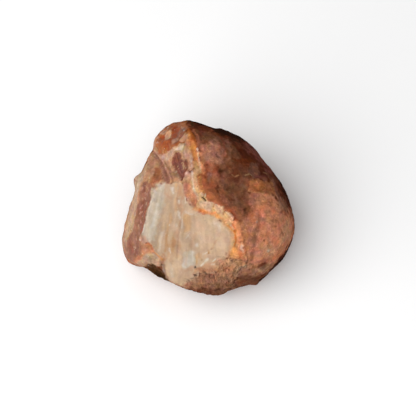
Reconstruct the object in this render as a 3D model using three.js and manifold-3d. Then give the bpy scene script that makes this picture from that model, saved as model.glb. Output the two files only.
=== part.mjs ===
// Raw carnelian: one worn pebble of chalcedony, broken open on its front so that the milky inside shows.
// It lies on a flat underside. Millimetres, +Z up, +Y away from the viewer, origin at the middle of the
// bounding box's lowest face.
//
// The stone is shaped in its display frame and then leaned back onto its underside. In the display frame
// u runs to the right, v runs up across the broken face, and w comes out of that face.

import * as THREE from "three";
import { mergeVertices } from "three/addons/utils/BufferGeometryUtils.js";
import Module from "manifold-3d";

const wasm = await Module();
wasm.setup();

// Driving dimensions.
const HEART = [1.5, -1.5]; // u, v of the point that the outline is measured round
const FACE_TILT = 65; // degrees that the broken face's w axis stands above the horizon
const UNDERSIDE_DROP = 15; // from the heart's plane down to the flat underside
const RIM_LEVEL = -2; // the rim's general height
const FRONT_DEPTH = 21.5; // how far the worn front would swell if no facet cut it
const BACK_DEPTH = 19.5; // how far the worn back would swell
const BACK_FULLNESS = 2.8; // how square the back's edge is
const NOTCH_REACH = { front: 6, back: 4 }; // depth over which the outline's notches and corners fade
const WORN_INSET = 0.975; // the outline away from the rim, as a share of its smoothed self
const WORN_SPREAD = [-24, -16, -8, 0, 8, 16, 24]; // degrees over which the outline is smoothed there
const SEGMENTS = { around: 96, frontToBack: 36 }; // of the globe that the worn surface is shaped from
const CUTTER = 120; // side of the blocks that cut the flat faces
const WELD = 1e-4; // points closer than this are one
const EQUATOR = -1e-6; // the globe's points above this height belong to the front

// The outline seen along w: the points that its corners, notches and long curves need.
const OUTLINE = [
  [24.2, -4.6], [23.4, -9.3], [20.6, -14.6], [17.2, -18.0], [14.4, -20.7], [13.5, -21.6],
  [11.6, -21.5], [7.8, -22.2], [6.2, -22.7], [3.9, -24.1], [0.4, -24.1], [-6.5, -22.3],
  [-10.1, -20.9], [-13.3, -18.9], [-16.9, -16.8], [-20.4, -16.2], [-22.5, -14.7], [-23.9, -10.7],
  [-23.4, -5.8], [-22.0, -0.6], [-20.6, 4.4], [-20.5, 8.1], [-18.4, 10.0], [-16.9, 13.5],
  [-15.1, 16.2], [-14.9, 18.8], [-13.6, 20.8], [-11.0, 22.9], [-7.8, 23.9], [-5.1, 24.3],
  [-2.8, 23.7], [1.4, 22.1],
  [3.3, 22.0], [6.1, 21.1], [9.4, 19.3], [13.1, 16.2], [15.3, 13.3], [18.2, 9.9],
  [20.6, 6.4], [22.8, 1.5],
];

// Around the outline, by angle in degrees: the height of the rim, how full the edge is (2 is a round
// edge, more is squarer), and how softly the worn edge runs into the facets.
const RIM_HEIGHT = [
  [-180, -4.0], [-135, -1.5], [-90, -0.5], [-45, -3.0], [0, -4.0], [45, -3.0], [90, -1.0],
  [115, 0.0], [150, -2.5],
];
const EDGE_FULLNESS = [
  [-180, 2.6], [-140, 3.6], [-110, 3.2], [-75, 2.6], [-45, 3.0], [-15, 3.4], [15, 2.6],
  [45, 2.0], [80, 2.2], [110, 2.6], [150, 2.4],
];
const EDGE_SOFTNESS = [
  [-180, 1.2], [-140, 1.2], [-110, 1.5], [-75, 3.0], [-45, 4.0], [-15, 5.0], [15, 6.0],
  [45, 7.0], [80, 5.0], [110, 2.0], [150, 1.2],
];

// A facet is the plane w = height + slopeU * u + slopeV * v.
const FRACTURE = { height: 15.53, slopeU: 0.318, slopeV: 0.225 };
const SKIN = { height: 18.2, slopeU: -0.26, slopeV: -0.36 };
const CHEEK = { height: 20.87, slopeU: -0.33, slopeV: 0.154 };
const CRUST = { height: 26.5, slopeU: -0.12, slopeV: 0.8 };
const SHOULDER = { height: 17.5, slopeU: 0.166, slopeV: -0.242 };
const NOOK = { height: 24.6, slopeU: 0.39, slopeV: -1.03 };
const NEAR_BEVEL = { height: 32.0, slopeU: 1.3, slopeV: 0 };
const FAR_BEVEL = { height: 45.0, slopeU: 2.0, slopeV: 0 };
const KNOB_SIDE = { height: 27.05, slopeU: 0.9, slopeV: -0.4 };
const BACK_FACETS = [
  { height: -19.5, slopeU: 0.42, slopeV: 0.1 },
  { height: -19.5, slopeU: -0.5, slopeV: 0.15 },
  { height: -19.0, slopeU: 0.1, slopeV: 0.3 },
  { height: -24.0, slopeU: 0.55, slopeV: 0.55 },
];

// How softly each facet of the front runs into those before it, and the back's facets into its dome.
const SOFTNESS = {
  heart: 1, cheek: 3, crust: 2, shoulder: 0.5, nook: 0.5, nearBevel: 0.5, farBevel: 0.7, knobSide: 0.6,
  back: 3,
};

// The step under the knob, where the stone rises from the nook: it runs through foot, and rises
// towards uphill.
const STEP = { foot: [-15.1, 16.0], uphill: [0.757, 0.654], rise: 1.8 };

// Swellings and hollows: centre, half widths and turn of each, with its height.
const DISH = { centre: [7.4, 5.4], widths: [6.5, 3.6], turn: -34, height: -1.5 };
const HUMP = { centre: [1.2, 15.0], widths: [3.0, 3.8], turn: 0, height: 0.9 };
const KNOB = { centre: [-9.6, 18.8], widths: [3.0, 3.4], turn: 0, height: 1.2 };

const carnelian = new THREE.MeshStandardMaterial({
  color: 0xa9684a,
  roughness: 0.55,
  metalness: 0,
});

// A smooth closed curve through [degrees, value] pairs, as a function of the angle in radians.
function around(pairs) {
  const sorted = pairs
    .map(([degrees, value]) => [THREE.MathUtils.degToRad(degrees), value])
    .sort((a, b) => a[0] - b[0]);
  const turn = 2 * Math.PI;
  const count = sorted.length;
  const knot = (i) => {
    const laps = Math.floor(i / count);
    const [angle, value] = sorted[i - laps * count];
    return [angle + laps * turn, value];
  };
  const slope = (i) => {
    const [before, low] = knot(i - 1);
    const [after, high] = knot(i + 1);
    return (high - low) / (after - before);
  };
  return (angle) => {
    const start = sorted[0][0];
    const t = start + THREE.MathUtils.euclideanModulo(angle - start, turn);
    let i = 0;
    while (i < count - 1 && knot(i + 1)[0] <= t) i += 1;
    const [a, low] = knot(i);
    const [b, high] = knot(i + 1);
    const span = b - a;
    const x = (t - a) / span;
    return (
      (1 + 2 * x) * (1 - x) ** 2 * low +
      x * (1 - x) ** 2 * span * slope(i) +
      x * x * (3 - 2 * x) * high +
      x * x * (x - 1) * span * slope(i + 1)
    );
  };
}

// The smaller of two heights, blended where they differ by less than softness.
function softMin(a, b, softness) {
  const overlap = Math.max(softness - Math.abs(a - b), 0) / softness;
  return Math.min(a, b) - (overlap * overlap * softness) / 4;
}

function softMax(a, b, softness) {
  return -softMin(-a, -b, softness);
}

function facet({ height, slopeU, slopeV }, u, v) {
  return height + slopeU * u + slopeV * v;
}

function swelling({ centre, widths, turn, height }, u, v) {
  const angle = THREE.MathUtils.degToRad(turn);
  const c = Math.cos(angle);
  const s = Math.sin(angle);
  const along = (c * (u - centre[0]) + s * (v - centre[1])) / widths[0];
  const across = (c * (v - centre[1]) - s * (u - centre[0])) / widths[1];
  return height * Math.exp(-along * along - across * across);
}

const outlineRadius = around(
  OUTLINE.map(([u, v]) => {
    const across = u - HEART[0];
    const up = v - HEART[1];
    return [THREE.MathUtils.radToDeg(Math.atan2(up, across)), Math.hypot(across, up)];
  }),
);
const edgeFullness = around(EDGE_FULLNESS);

// A value that is central at the heart and reaches its own measure all round the outline.
function spread(pairs, central) {
  const measure = around(pairs);
  return (angle, reach) => central + (measure(angle) - central) * reach * reach;
}

const rimHeight = spread(RIM_HEIGHT, RIM_LEVEL);
const edgeSoftness = spread(EDGE_SOFTNESS, SOFTNESS.heart);

// How far the worn edge has swelled at reach, from 1 at the heart to 0 at the outline.
function swell(reach, fullness) {
  return (1 - Math.min(reach, 1) ** fullness) ** (1 / fullness);
}

// The outline at the rim, easing to a smoother and slightly smaller one where the surface is deep.
function radiusAt(angle, deep, notchReach) {
  let smooth = 0;
  for (const degrees of WORN_SPREAD) {
    smooth += outlineRadius(angle + THREE.MathUtils.degToRad(degrees)) / WORN_SPREAD.length;
  }
  const worn = WORN_INSET * smooth;
  return worn + (outlineRadius(angle) - worn) * Math.exp(-((deep / notchReach) ** 2));
}

// The front's height before the fracture: skin, cheek and crust on the right and below, the shoulder and
// its knob above, and the nook and two bevels on the left.
function frontHeight(u, v, angle, reach) {
  const dome = rimHeight(angle, reach) + FRONT_DEPTH * swell(reach, edgeFullness(angle));
  const climb = STEP.uphill[0] * (u - STEP.foot[0]) + STEP.uphill[1] * (v - STEP.foot[1]);
  let w = softMin(facet(SKIN, u, v), facet(CHEEK, u, v), SOFTNESS.cheek);
  w += swelling(DISH, u, v) + swelling(HUMP, u, v);
  w = softMin(w, facet(CRUST, u, v), SOFTNESS.crust);
  w = softMin(w, facet(SHOULDER, u, v), SOFTNESS.shoulder);
  w = softMin(w, facet(NOOK, u, v) + STEP.rise * Math.max(climb, 0), SOFTNESS.nook);
  w = softMin(w, facet(NEAR_BEVEL, u, v), SOFTNESS.nearBevel);
  w = softMin(w, facet(FAR_BEVEL, u, v), SOFTNESS.farBevel);
  w = softMin(w, facet(KNOB_SIDE, u, v), SOFTNESS.knobSide);
  w += swelling(KNOB, u, v);
  return softMin(w, dome, edgeSoftness(angle, reach));
}

// The back is a worn dome with a few broad facets.
function backHeight(u, v, angle, reach) {
  const rim = rimHeight(angle, reach);
  let w = rim - BACK_DEPTH * swell(reach, BACK_FULLNESS);
  for (const side of BACK_FACETS) w = softMax(w, facet(side, u, v), SOFTNESS.back);
  return Math.min(w, rim);
}

// A globe whose poles face front and back and whose equator is the rim, with its points moved out to the
// stone's surface.
function wornLump() {
  const geometry = new THREE.SphereGeometry(1, SEGMENTS.around, SEGMENTS.frontToBack);
  geometry.rotateX(Math.PI / 2);
  const points = geometry.getAttribute("position");
  for (let i = 0; i < points.count; i += 1) {
    const x = points.getX(i);
    const y = points.getY(i);
    const angle = Math.atan2(y, x);
    const reach = Math.min(Math.hypot(x, y), 1);
    const isFront = points.getZ(i) > EQUATOR;
    const deep = isFront
      ? FRONT_DEPTH * swell(reach, edgeFullness(angle))
      : BACK_DEPTH * swell(reach, BACK_FULLNESS);
    const radius = reach * radiusAt(angle, deep, isFront ? NOTCH_REACH.front : NOTCH_REACH.back);
    const u = HEART[0] + radius * Math.cos(angle);
    const v = HEART[1] + radius * Math.sin(angle);
    const height = isFront ? frontHeight : backHeight;
    points.setXYZ(i, u, v, height(u, v, angle, reach));
  }
  return geometry;
}

// A block whose one face is the facet, reaching away from the stone.
function blockOver(plane) {
  const normal = new THREE.Vector3(-plane.slopeU, -plane.slopeV, 1).normalize();
  const turn = new THREE.Quaternion().setFromUnitVectors(new THREE.Vector3(0, 0, 1), normal);
  return new THREE.BoxGeometry(CUTTER, CUTTER, CUTTER)
    .translate(0, 0, CUTTER / 2)
    .applyQuaternion(turn)
    .translate(0, 0, plane.height);
}

function solidOf(geometry) {
  const bare = geometry.index ? geometry.toNonIndexed() : geometry.clone();
  bare.deleteAttribute("normal");
  bare.deleteAttribute("uv");
  const merged = mergeVertices(bare, WELD);
  return new wasm.Manifold(
    new wasm.Mesh({
      numProp: 3,
      vertProperties: new Float32Array(merged.getAttribute("position").array),
      triVerts: new Uint32Array(merged.index.array),
    }),
  );
}

function geometryOf(solid) {
  const mesh = solid.getMesh();
  const geometry = new THREE.BufferGeometry();
  geometry.setAttribute("position", new THREE.BufferAttribute(mesh.vertProperties, 3));
  geometry.setIndex(new THREE.BufferAttribute(mesh.triVerts, 1));
  geometry.computeVertexNormals();
  return geometry;
}

// From the display frame to the stone lying on its underside: w leans back to stand FACE_TILT above the
// horizon, and the flat underside lands on z = 0.
function layDown(geometry) {
  const lean = THREE.MathUtils.degToRad(90 - FACE_TILT);
  geometry.rotateX(lean);
  geometry.translate(0, 0, UNDERSIDE_DROP);
  return geometry;
}

function buildStone() {
  const broken = solidOf(wornLump()).subtract(solidOf(blockOver(FRACTURE)));
  const lying = solidOf(layDown(geometryOf(broken)));
  const below = new THREE.BoxGeometry(CUTTER, CUTTER, CUTTER).translate(0, 0, -CUTTER / 2);
  const geometry = geometryOf(lying.subtract(solidOf(below)));
  geometry.computeBoundingBox();
  const middle = geometry.boundingBox.getCenter(new THREE.Vector3());
  geometry.translate(-middle.x, -middle.y, 0);
  const stone = new THREE.Mesh(geometry, carnelian);
  stone.name = "carnelian_stone";
  return stone;
}

const rawCarnelian = new THREE.Group();
rawCarnelian.add(buildStone());

export default rawCarnelian;
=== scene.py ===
"""Raw carnelian: a worn pebble of chalcedony, broken open on its front so that the milky inside shows.

The stone is shaped in its display frame, in millimetres: u runs to the right, v runs up across the broken
face and w comes out of it. It is then laid down on its flat underside, in metres, where the frame has it.
"""

import math

import bpy
import numpy as np
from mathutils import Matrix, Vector, noise


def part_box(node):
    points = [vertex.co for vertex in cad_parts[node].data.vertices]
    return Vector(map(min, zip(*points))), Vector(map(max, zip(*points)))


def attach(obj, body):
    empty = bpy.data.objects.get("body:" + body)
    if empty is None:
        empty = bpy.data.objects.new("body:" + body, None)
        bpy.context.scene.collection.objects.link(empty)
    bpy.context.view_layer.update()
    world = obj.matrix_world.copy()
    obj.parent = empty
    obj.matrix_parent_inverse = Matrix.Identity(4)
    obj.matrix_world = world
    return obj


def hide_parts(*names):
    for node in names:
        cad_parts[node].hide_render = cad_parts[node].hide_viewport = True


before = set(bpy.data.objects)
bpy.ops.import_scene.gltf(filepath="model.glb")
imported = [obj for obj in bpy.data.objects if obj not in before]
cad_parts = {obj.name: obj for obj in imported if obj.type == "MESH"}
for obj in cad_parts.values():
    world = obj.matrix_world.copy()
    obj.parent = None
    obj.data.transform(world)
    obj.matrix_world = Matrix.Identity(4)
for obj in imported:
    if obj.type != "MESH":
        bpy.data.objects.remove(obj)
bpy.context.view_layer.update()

bl_info = {
    "name": "Raw Carnelian",
    "version": (1, 0, 0),
    "blender": (4, 5, 0),
    "location": "3D View > Sidebar > Carnelian",
    "description": "Builds a raw carnelian pebble and the plain stage it lies on",
    "category": "Add Mesh",
}

MM = 0.001
NODE = "carnelian_stone"

# ----- The stone's general shape, in millimetres in the display frame -----

HEART = (1.5, -1.5)
RIM_LEVEL = -2.0
FRONT_DEPTH = 21.5
BACK_DEPTH = 19.5
BACK_FULLNESS = 2.8
HEART_SOFTNESS = 1
NOTCH_REACH_FRONT = 6.0
NOTCH_REACH_BACK = 4.0
WORN_INSET = 0.975
WORN_SPREAD = (-24, -16, -8, 0, 8, 16, 24)

OUTLINE = (
    (24.2, -4.6), (23.4, -9.3), (20.6, -14.6), (17.2, -18), (14.4, -20.7), (13.5, -21.6), (11.6, -21.5),
    (7.8, -22.2), (6.2, -22.7), (3.9, -24.1), (0.4, -24.1), (-6.5, -22.3), (-10.1, -20.9), (-13.3, -18.9),
    (-16.9, -16.8), (-20.4, -16.2), (-22.5, -14.7), (-23.9, -10.7), (-23.4, -5.8), (-22, -0.6), (-20.6, 4.4),
    (-20.5, 8.1), (-18.4, 10), (-16.9, 13.5), (-15.1, 16.2), (-14.9, 18.8), (-13.6, 20.8), (-11, 22.9),
    (-7.8, 23.9), (-5.1, 24.3), (-2.8, 23.7), (1.4, 22.1), (3.3, 22), (6.1, 21.1), (9.4, 19.3), (13.1, 16.2),
    (15.3, 13.3), (18.2, 9.9), (20.6, 6.4), (22.8, 1.5),
)

# Around the outline, by angle in degrees: the rim's height, how square the edge is, how softly it is worn.
RIM_HEIGHT = (
    (-180, -4), (-135, -1.5), (-90, -0.5), (-45, -3), (0, -4), (45, -3), (90, -1), (115, 0), (150, -2.5),
)
EDGE_FULLNESS = (
    (-180, 2.6), (-140, 3.6), (-110, 3.2), (-75, 2.6), (-45, 3), (-15, 3.4), (15, 2.6), (45, 2), (80, 2.2),
    (110, 2.6), (150, 2.4),
)
EDGE_SOFTNESS = (
    (-180, 1.2), (-140, 1.2), (-110, 1.5), (-75, 3), (-45, 4), (-15, 5), (15, 6), (45, 7), (80, 5), (110, 2),
    (150, 1.2),
)

# Facets are planes w = height + slope_u * u + slope_v * v. A cutting one has its edge's softness last.
SKIN = (18.2, -0.26, -0.36)
CHEEK = (20.87, -0.33, 0.154, 3)
CRUST = (26.5, -0.12, 0.80, 2)
SHOULDER = (17.5, 0.166, -0.242, 0.5)
NOOK = (24.6, 0.39, -1.03, 0.5)
NEAR_BEVEL = (32, 1.3, 0, 0.5)
FAR_BEVEL = (45, 2, 0, 0.7)
KNOB_SIDE = (27.05, 0.9, -0.4, 0.6)
FRACTURE = (15.53, 0.318, 0.225, 0.25)
BACK_FACETS = (
    (-19.5, 0.42, 0.1, 3), (-19.5, -0.5, 0.15, 3), (-19, 0.1, 0.3, 3), (-24, 0.55, 0.55, 3),
)

# The step where the nook climbs to the knob: a point on its foot, the way it climbs, and how steeply.
STEP_FOOT = (-15.1, 16)
STEP_CLIMB = (0.757, 0.654)
STEP_STEEPNESS = 1.8

# Swellings and hollows: centre, half widths, turn in degrees, height.
DISH = ((7.4, 5.4), (6.5, 3.6), -34, -1.5)
HUMP = ((1.2, 15), (3, 3.8), 0, 0.9)
KNOB = ((-9.6, 18.8), (3, 3.4), 0, 1.2)

# How softly the underside's flat runs into the sides.
UNDERSIDE_SOFTNESS = 0.8

# Points this near the rim's plane count as the front, and the globe is welded to this many decimals.
NEARLY_ZERO = 1e-9
WELD_DECIMALS = 6

# Painted shade in hollows and creases, and wear on proud points, are seen at two scales, each given as
# smoothing passes and weight, and kept between two shades.
WEAR_AND_SHADE_SCALES = ((2, 0.5), (12, 0.5))
PAINTED_SHADE_DARKEST = -0.35
WEAR_PALEST = 0.12


def around(pairs):
    """A smooth closed curve through (degrees, value) pairs, as a function of an array of angles."""
    pairs = sorted((math.radians(degrees), value) for degrees, value in pairs)
    turn = 2 * math.pi
    angles = np.array([pairs[-2][0] - turn, pairs[-1][0] - turn] + [a for a, _ in pairs]
                      + [pairs[0][0] + turn, pairs[1][0] + turn])
    values = np.array([pairs[-2][1], pairs[-1][1]] + [v for _, v in pairs] + [pairs[0][1], pairs[1][1]])
    slopes = np.zeros_like(values)
    slopes[1:-1] = (values[2:] - values[:-2]) / (angles[2:] - angles[:-2])

    def curve(angle):
        angle = (angle - angles[1]) % turn + angles[1]
        i = np.clip(np.searchsorted(angles, angle, side="right") - 1, 1, len(angles) - 3)
        span = angles[i + 1] - angles[i]
        x = (angle - angles[i]) / span
        return ((1 + 2 * x) * (1 - x) ** 2 * values[i] + x * (1 - x) ** 2 * span * slopes[i]
                + x * x * (3 - 2 * x) * values[i + 1] + x * x * (x - 1) * span * slopes[i + 1])

    return curve


def soft_min(a, b, softness):
    """The smaller of two heights, blended where they differ by less than softness."""
    overlap = np.maximum(softness - np.abs(a - b), 0) / softness
    return np.minimum(a, b) - overlap * overlap * softness / 4


def soft_max(a, b, softness):
    return -soft_min(-a, -b, softness)


def smooth_step(low, high, x):
    """0 below low, 1 above high, and an even ramp between."""
    t = np.clip((x - low) / (high - low), 0, 1)
    return t * t * (3 - 2 * t)


def facet(plane, u, v):
    height, slope_u, slope_v = plane[:3]
    return height + slope_u * u + slope_v * v


def cut_facet(w, plane, u, v):
    """The front's height cut off along a facet."""
    return soft_min(w, facet(plane, u, v), plane[3])


def swelling(spec, u, v):
    (centre_u, centre_v), (along, across), turn, height = spec
    c, s = math.cos(math.radians(turn)), math.sin(math.radians(turn))
    x = (c * (u - centre_u) + s * (v - centre_v)) / along
    y = (c * (v - centre_v) - s * (u - centre_u)) / across
    return height * np.exp(-x * x - y * y)


outline_radius = around([
    (math.degrees(math.atan2(v - HEART[1], u - HEART[0])), math.hypot(u - HEART[0], v - HEART[1]))
    for u, v in OUTLINE
])
rim_curve = around(RIM_HEIGHT)
fullness_curve = around(EDGE_FULLNESS)
softness_curve = around(EDGE_SOFTNESS)


def outwards(at_heart, at_rim, reach):
    """A value that changes from the heart to the rim, and mostly near the rim."""
    return at_heart + (at_rim - at_heart) * reach ** 2


def rim_height(angle, reach):
    return outwards(RIM_LEVEL, rim_curve(angle), reach)


def radius_at(angle, deep, notch_reach):
    """The outline at the rim, easing to a smoother and slightly smaller one where the surface is deep."""
    worn = WORN_INSET * sum(outline_radius(angle + math.radians(d)) for d in WORN_SPREAD) / len(WORN_SPREAD)
    return worn + (outline_radius(angle) - worn) * np.exp(-(deep / notch_reach) ** 2)


def front_height(u, v, angle, reach, swell):
    dome = rim_height(angle, reach) + FRONT_DEPTH * swell
    climb = STEP_CLIMB[0] * (u - STEP_FOOT[0]) + STEP_CLIMB[1] * (v - STEP_FOOT[1])
    w = cut_facet(facet(SKIN, u, v), CHEEK, u, v)
    w = w + swelling(DISH, u, v) + swelling(HUMP, u, v)
    w = cut_facet(w, CRUST, u, v)
    w = cut_facet(w, SHOULDER, u, v)
    w = soft_min(w, facet(NOOK, u, v) + STEP_STEEPNESS * np.maximum(climb, 0), NOOK[3])
    for plane in (NEAR_BEVEL, FAR_BEVEL, KNOB_SIDE):
        w = cut_facet(w, plane, u, v)
    w = w + swelling(KNOB, u, v)
    w = cut_facet(w, FRACTURE, u, v)
    return soft_min(w, dome, outwards(HEART_SOFTNESS, softness_curve(angle), reach))


def back_height(u, v, angle, reach, swell):
    rim = rim_height(angle, reach)
    w = rim - BACK_DEPTH * swell
    for plane in BACK_FACETS:
        w = soft_max(w, facet(plane, u, v), plane[3])
    return np.minimum(w, rim)


# ----- Mesh making -----

def globe(segments):
    """A unit globe of quads: six square patches, with the rim's circle z = 0 running along their edges."""
    steps = np.tan(np.linspace(-math.pi / 4, math.pi / 4, segments + 1))
    a, b = (grid.ravel() for grid in np.meshgrid(steps, steps, indexing="ij"))
    one = np.ones_like(a)
    sides = ((a, b, one), (a, -b, -one), (one, b, -a), (-one, b, a), (a, one, -b), (a, -one, b))
    corner = np.arange(segments * (segments + 1)).reshape(segments, segments + 1)[:, :-1].ravel()
    quad = np.stack([corner, corner + segments + 1, corner + segments + 2, corner + 1], axis=1)
    points = np.concatenate([np.stack(side, axis=1) for side in sides])
    quads = np.concatenate([quad + k * len(a) for k in range(6)])
    points /= np.linalg.norm(points, axis=1, keepdims=True)
    rounded = np.round(points, WELD_DECIMALS)
    _, first, welded = np.unique(rounded, axis=0, return_index=True, return_inverse=True)
    return points[first], welded.ravel()[quads]


def vertex_normals(points, quads):
    """Unit normals at the points, from the quads round each."""
    p = points[quads]
    face = np.cross(p[:, 2] - p[:, 0], p[:, 3] - p[:, 1])
    total = np.zeros_like(points)
    for corner in range(4):
        for axis in range(3):
            total[:, axis] += np.bincount(quads[:, corner], face[:, axis], len(points))
    return total / np.linalg.norm(total, axis=1, keepdims=True)


def wear_and_painted_shade(points, quads):
    """Paler where a point stands proud of those round it (wear), darker where it lies in a hollow (painted
    shade).
    """
    edges = np.concatenate([quads[:, (0, 1)], quads[:, (1, 2)]])
    ends = np.concatenate([edges[:, 0], edges[:, 1]])
    others = np.concatenate([edges[:, 1], edges[:, 0]])
    count = np.bincount(ends, minlength=len(points))[:, None]
    normals = vertex_normals(points, quads)
    smooth = points
    shade = np.zeros(len(points))
    for passes, weight in WEAR_AND_SHADE_SCALES:
        for _ in range(passes):
            near = smooth[others]
            total = [np.bincount(ends, near[:, axis], len(points)) for axis in range(3)]
            smooth = np.stack(total, axis=1) / count
        shade += weight * np.einsum("ij,ij->i", points - smooth, normals)
    return np.clip(shade, PAINTED_SHADE_DARKEST, WEAR_PALEST)


def general_shape(globe_points):
    """The globe's points moved out to the worn stone's surface."""
    x, y, z = globe_points.T
    angle = np.arctan2(y, x)
    out, up = np.hypot(x, y), np.abs(z)
    front = z > -NEARLY_ZERO
    fullness = np.where(front, fullness_curve(angle), BACK_FULLNESS)
    size = (out ** fullness + up ** fullness) ** (1 / fullness)
    reach, swell = np.minimum(out / size, 1), up / size
    deep = swell * np.where(front, FRONT_DEPTH, BACK_DEPTH)
    radius = reach * radius_at(angle, deep, np.where(front, NOTCH_REACH_FRONT, NOTCH_REACH_BACK))
    u = HEART[0] + radius * np.cos(angle)
    v = HEART[1] + radius * np.sin(angle)
    w = np.where(front, front_height(u, v, angle, reach, swell), back_height(u, v, angle, reach, swell))
    return np.stack([u, v, w], axis=1), front


def lay_down(points, tilt, drop):
    """Leans the display frame back so that w stands tilt above the horizon, and lifts it by the drop."""
    lean = math.pi / 2 - tilt
    u, v, w = points.T
    y = v * math.cos(lean) - w * math.sin(lean)
    z = v * math.sin(lean) + w * math.cos(lean) + drop
    return np.stack([u, y, z], axis=1)


# ----- Drawing on the display frame -----

MILKY_FACE = [
    (-15.1, 3.9), (-14.5, 4.3), (-13.8, 4.8), (-13.2, 5.5), (-12.7, 6.2), (-12.3, 6.7), (-11.9, 6.4),
    (-11.6, 7), (-11.2, 6.4), (-10.4, 6.5), (-9.6, 7.1), (-8.9, 7.6), (-8.2, 7.4), (-7.4, 7), (-6.8, 6.3),
    (-6.8, 4.9), (-6.5, 3.4), (-5.8, 2), (-5, 0.9), (-4, 0), (-2.8, -0.7), (-2.2, -1.4), (-0.6, -2),
    (0.6, -2.3), (2, -2.6), (3.2, -3.7), (4.6, -4.8), (5.8, -6.6), (6.6, -8.6), (6.8, -10.4), (6.2, -11.8),
    (5.6, -13.2), (4.2, -14.1), (3, -14.4), (3, -15.8), (2.6, -17.4), (0.8, -18.2), (-0.8, -18),
    (-2.4, -17.6), (-2.7, -19), (-3.8, -20), (-5.2, -20.4), (-6.6, -21.4), (-8.4, -21.9), (-10.6, -20.9),
    (-11.9, -19.4), (-12.3, -17.6), (-12.6, -15.6), (-12.6, -14.4), (-13.6, -13.2), (-14.6, -11.9),
    (-15.3, -10.8), (-16.4, -9.5), (-17.6, -9.8), (-18.3, -8.8), (-18.1, -7.4), (-17.7, -5.6), (-17, -3.6),
    (-16.4, -1.6), (-16, 0), (-15.7, 1.2), (-15.5, 2.8), (-15.5, 4),
]
ROUGH_CRUST = [
    (-2.4, -17.6), (-0.8, -18.1), (0.8, -18.3), (2.6, -17.5), (3.1, -15.8), (2.9, -14.3), (5, -14),
    (8, -14.2), (10.6, -14.6), (11, -15.6), (8.4, -16.6), (7.6, -18), (7, -19.6), (6.6, -21.4), (6.4, -22.6),
    (4.3, -24.2), (0.4, -24.6), (-3, -23.8), (-6.4, -22.6), (-6.4, -21.4), (-5, -20.4), (-3.6, -19.9),
    (-2.6, -18.8),
]
GLASSY_BREAKS = [
    (-14.8, 18.3), (-13.9, 20.3), (-10.9, 22.8), (-8.4, 23.5), (-6.2, 23.7), (-5.7, 21), (-6, 17.6),
    (-5.7, 12.9), (-5.4, 10.5), (-6.7, 7.3), (-7, 6.3), (-9.9, 6.7), (-12.6, 6.7), (-14.9, 5.7), (-15.6, 3.8),
    (-16.3, 0.4), (-17, -0.3), (-17.3, -3.5), (-18.5, -7.4), (-17.6, -9.4), (-15.3, -10.8), (-12.8, -14.1),
    (-13.6, -16), (-17.6, -16.1), (-21, -15.5), (-22.5, -14.1), (-23.9, -10.1), (-22.2, -1), (-21.8, -0.6),
    (-20.5, 3.8), (-20.3, 7.8), (-17.6, 11.2), (-15.1, 15.6),
]

# Where the fibres of the milky inside fan out from, above the stone.
FIBRE_APEX = (-4, 40)

# How far apart the clouds of two seeds lie, how large the wanderings and the grain of drawn edges are, and
# how grainy an edge is for its softness.
SEED_STEP = 17.31
WANDER_SIZE = 2.2
GRAIN_SIZE = 1.1
EDGE_GRAIN = 0.6

# How far astray in millimetres the hand draws on each part of the stone, and how much it blurs.
CHISEL_ASTRAY = 0.25
OLD_SKIN_HAND = (0.55, 1.3)
BROKEN_HAND = (0.25, 1.25)
UNDERCUT_HAND = (0.7, 1.6)
BACK_HAND = (0.8, 1.6)


def path_distance(path, u, v):
    """Distance from each point to the nearest stretch of a path."""
    nearest = np.full(u.shape, np.inf)
    for (u0, v0), (u1, v1) in zip(path, path[1:]):
        du, dv = u1 - u0, v1 - v0
        t = np.clip(((u - u0) * du + (v - v0) * dv) / (du * du + dv * dv), 0, 1)
        nearest = np.minimum(nearest, np.hypot(u - u0 - t * du, v - v0 - t * dv))
    return nearest


def outline_distance(outline, u, v):
    """Distance from each point to a closed outline, negative inside it."""
    closed = list(outline) + [outline[0]]
    inside = np.zeros(u.shape, dtype=bool)
    for (u0, v0), (u1, v1) in zip(closed, closed[1:]):
        if v0 != v1:
            inside ^= ((v0 > v) != (v1 > v)) & (u < (u1 - u0) * (v - v0) / (v1 - v0) + u0)
    return np.where(inside, -1, 1) * path_distance(closed, u, v)


def cloud(points, size, octaves=2, seed=0):
    """Soft random values from about -1 to 1 that change over the given size, in millimetres."""
    places = points / size + seed * SEED_STEP
    return np.array([noise.fractal(place, 1.0, 2.0, octaves) for place in places.tolist()])


def clouds(points, layers):
    """Clouds laid over one another, each given as strength, size, octaves and seed."""
    return sum(strength * cloud(points, size, octaves, seed) for strength, size, octaves, seed in layers)


class Surface:
    """The stone's points for drawing on, with wanderings that keep drawn edges from being too even."""

    def __init__(self, points, straying):
        self.points = points
        self.wander_u = cloud(points, WANDER_SIZE, 3, seed=1) * straying
        self.wander_v = cloud(points, WANDER_SIZE, 3, seed=3) * straying
        self.grain = cloud(points, GRAIN_SIZE, 2, seed=5)


class Drawing:
    """A hand that draws on the surface, a little astray, where the points take what is drawn."""

    def __init__(self, surface, taking, astray, blur=1.0):
        self.u = surface.points[:, 0] + astray * surface.wander_u
        self.v = surface.points[:, 1] + astray * surface.wander_v
        self.grain = surface.grain
        self.taking = taking
        self.blur = blur

    def near(self, path, margin):
        """The points that may lie within the margin of a path's box."""
        us, vs = zip(*path)
        return np.flatnonzero((self.taking > 0) & (self.u > min(us) - margin) & (self.u < max(us) + margin)
                              & (self.v > min(vs) - margin) & (self.v < max(vs) + margin))

    def cover(self, at, distance, half_width, softness):
        """1 within the half width and 0 beyond it, with a grainy edge of the given softness."""
        softness = softness * self.blur
        distance = distance + EDGE_GRAIN * softness * self.grain[at]
        return 1 - smooth_step(half_width - softness / 2, half_width + softness / 2, distance)


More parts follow.
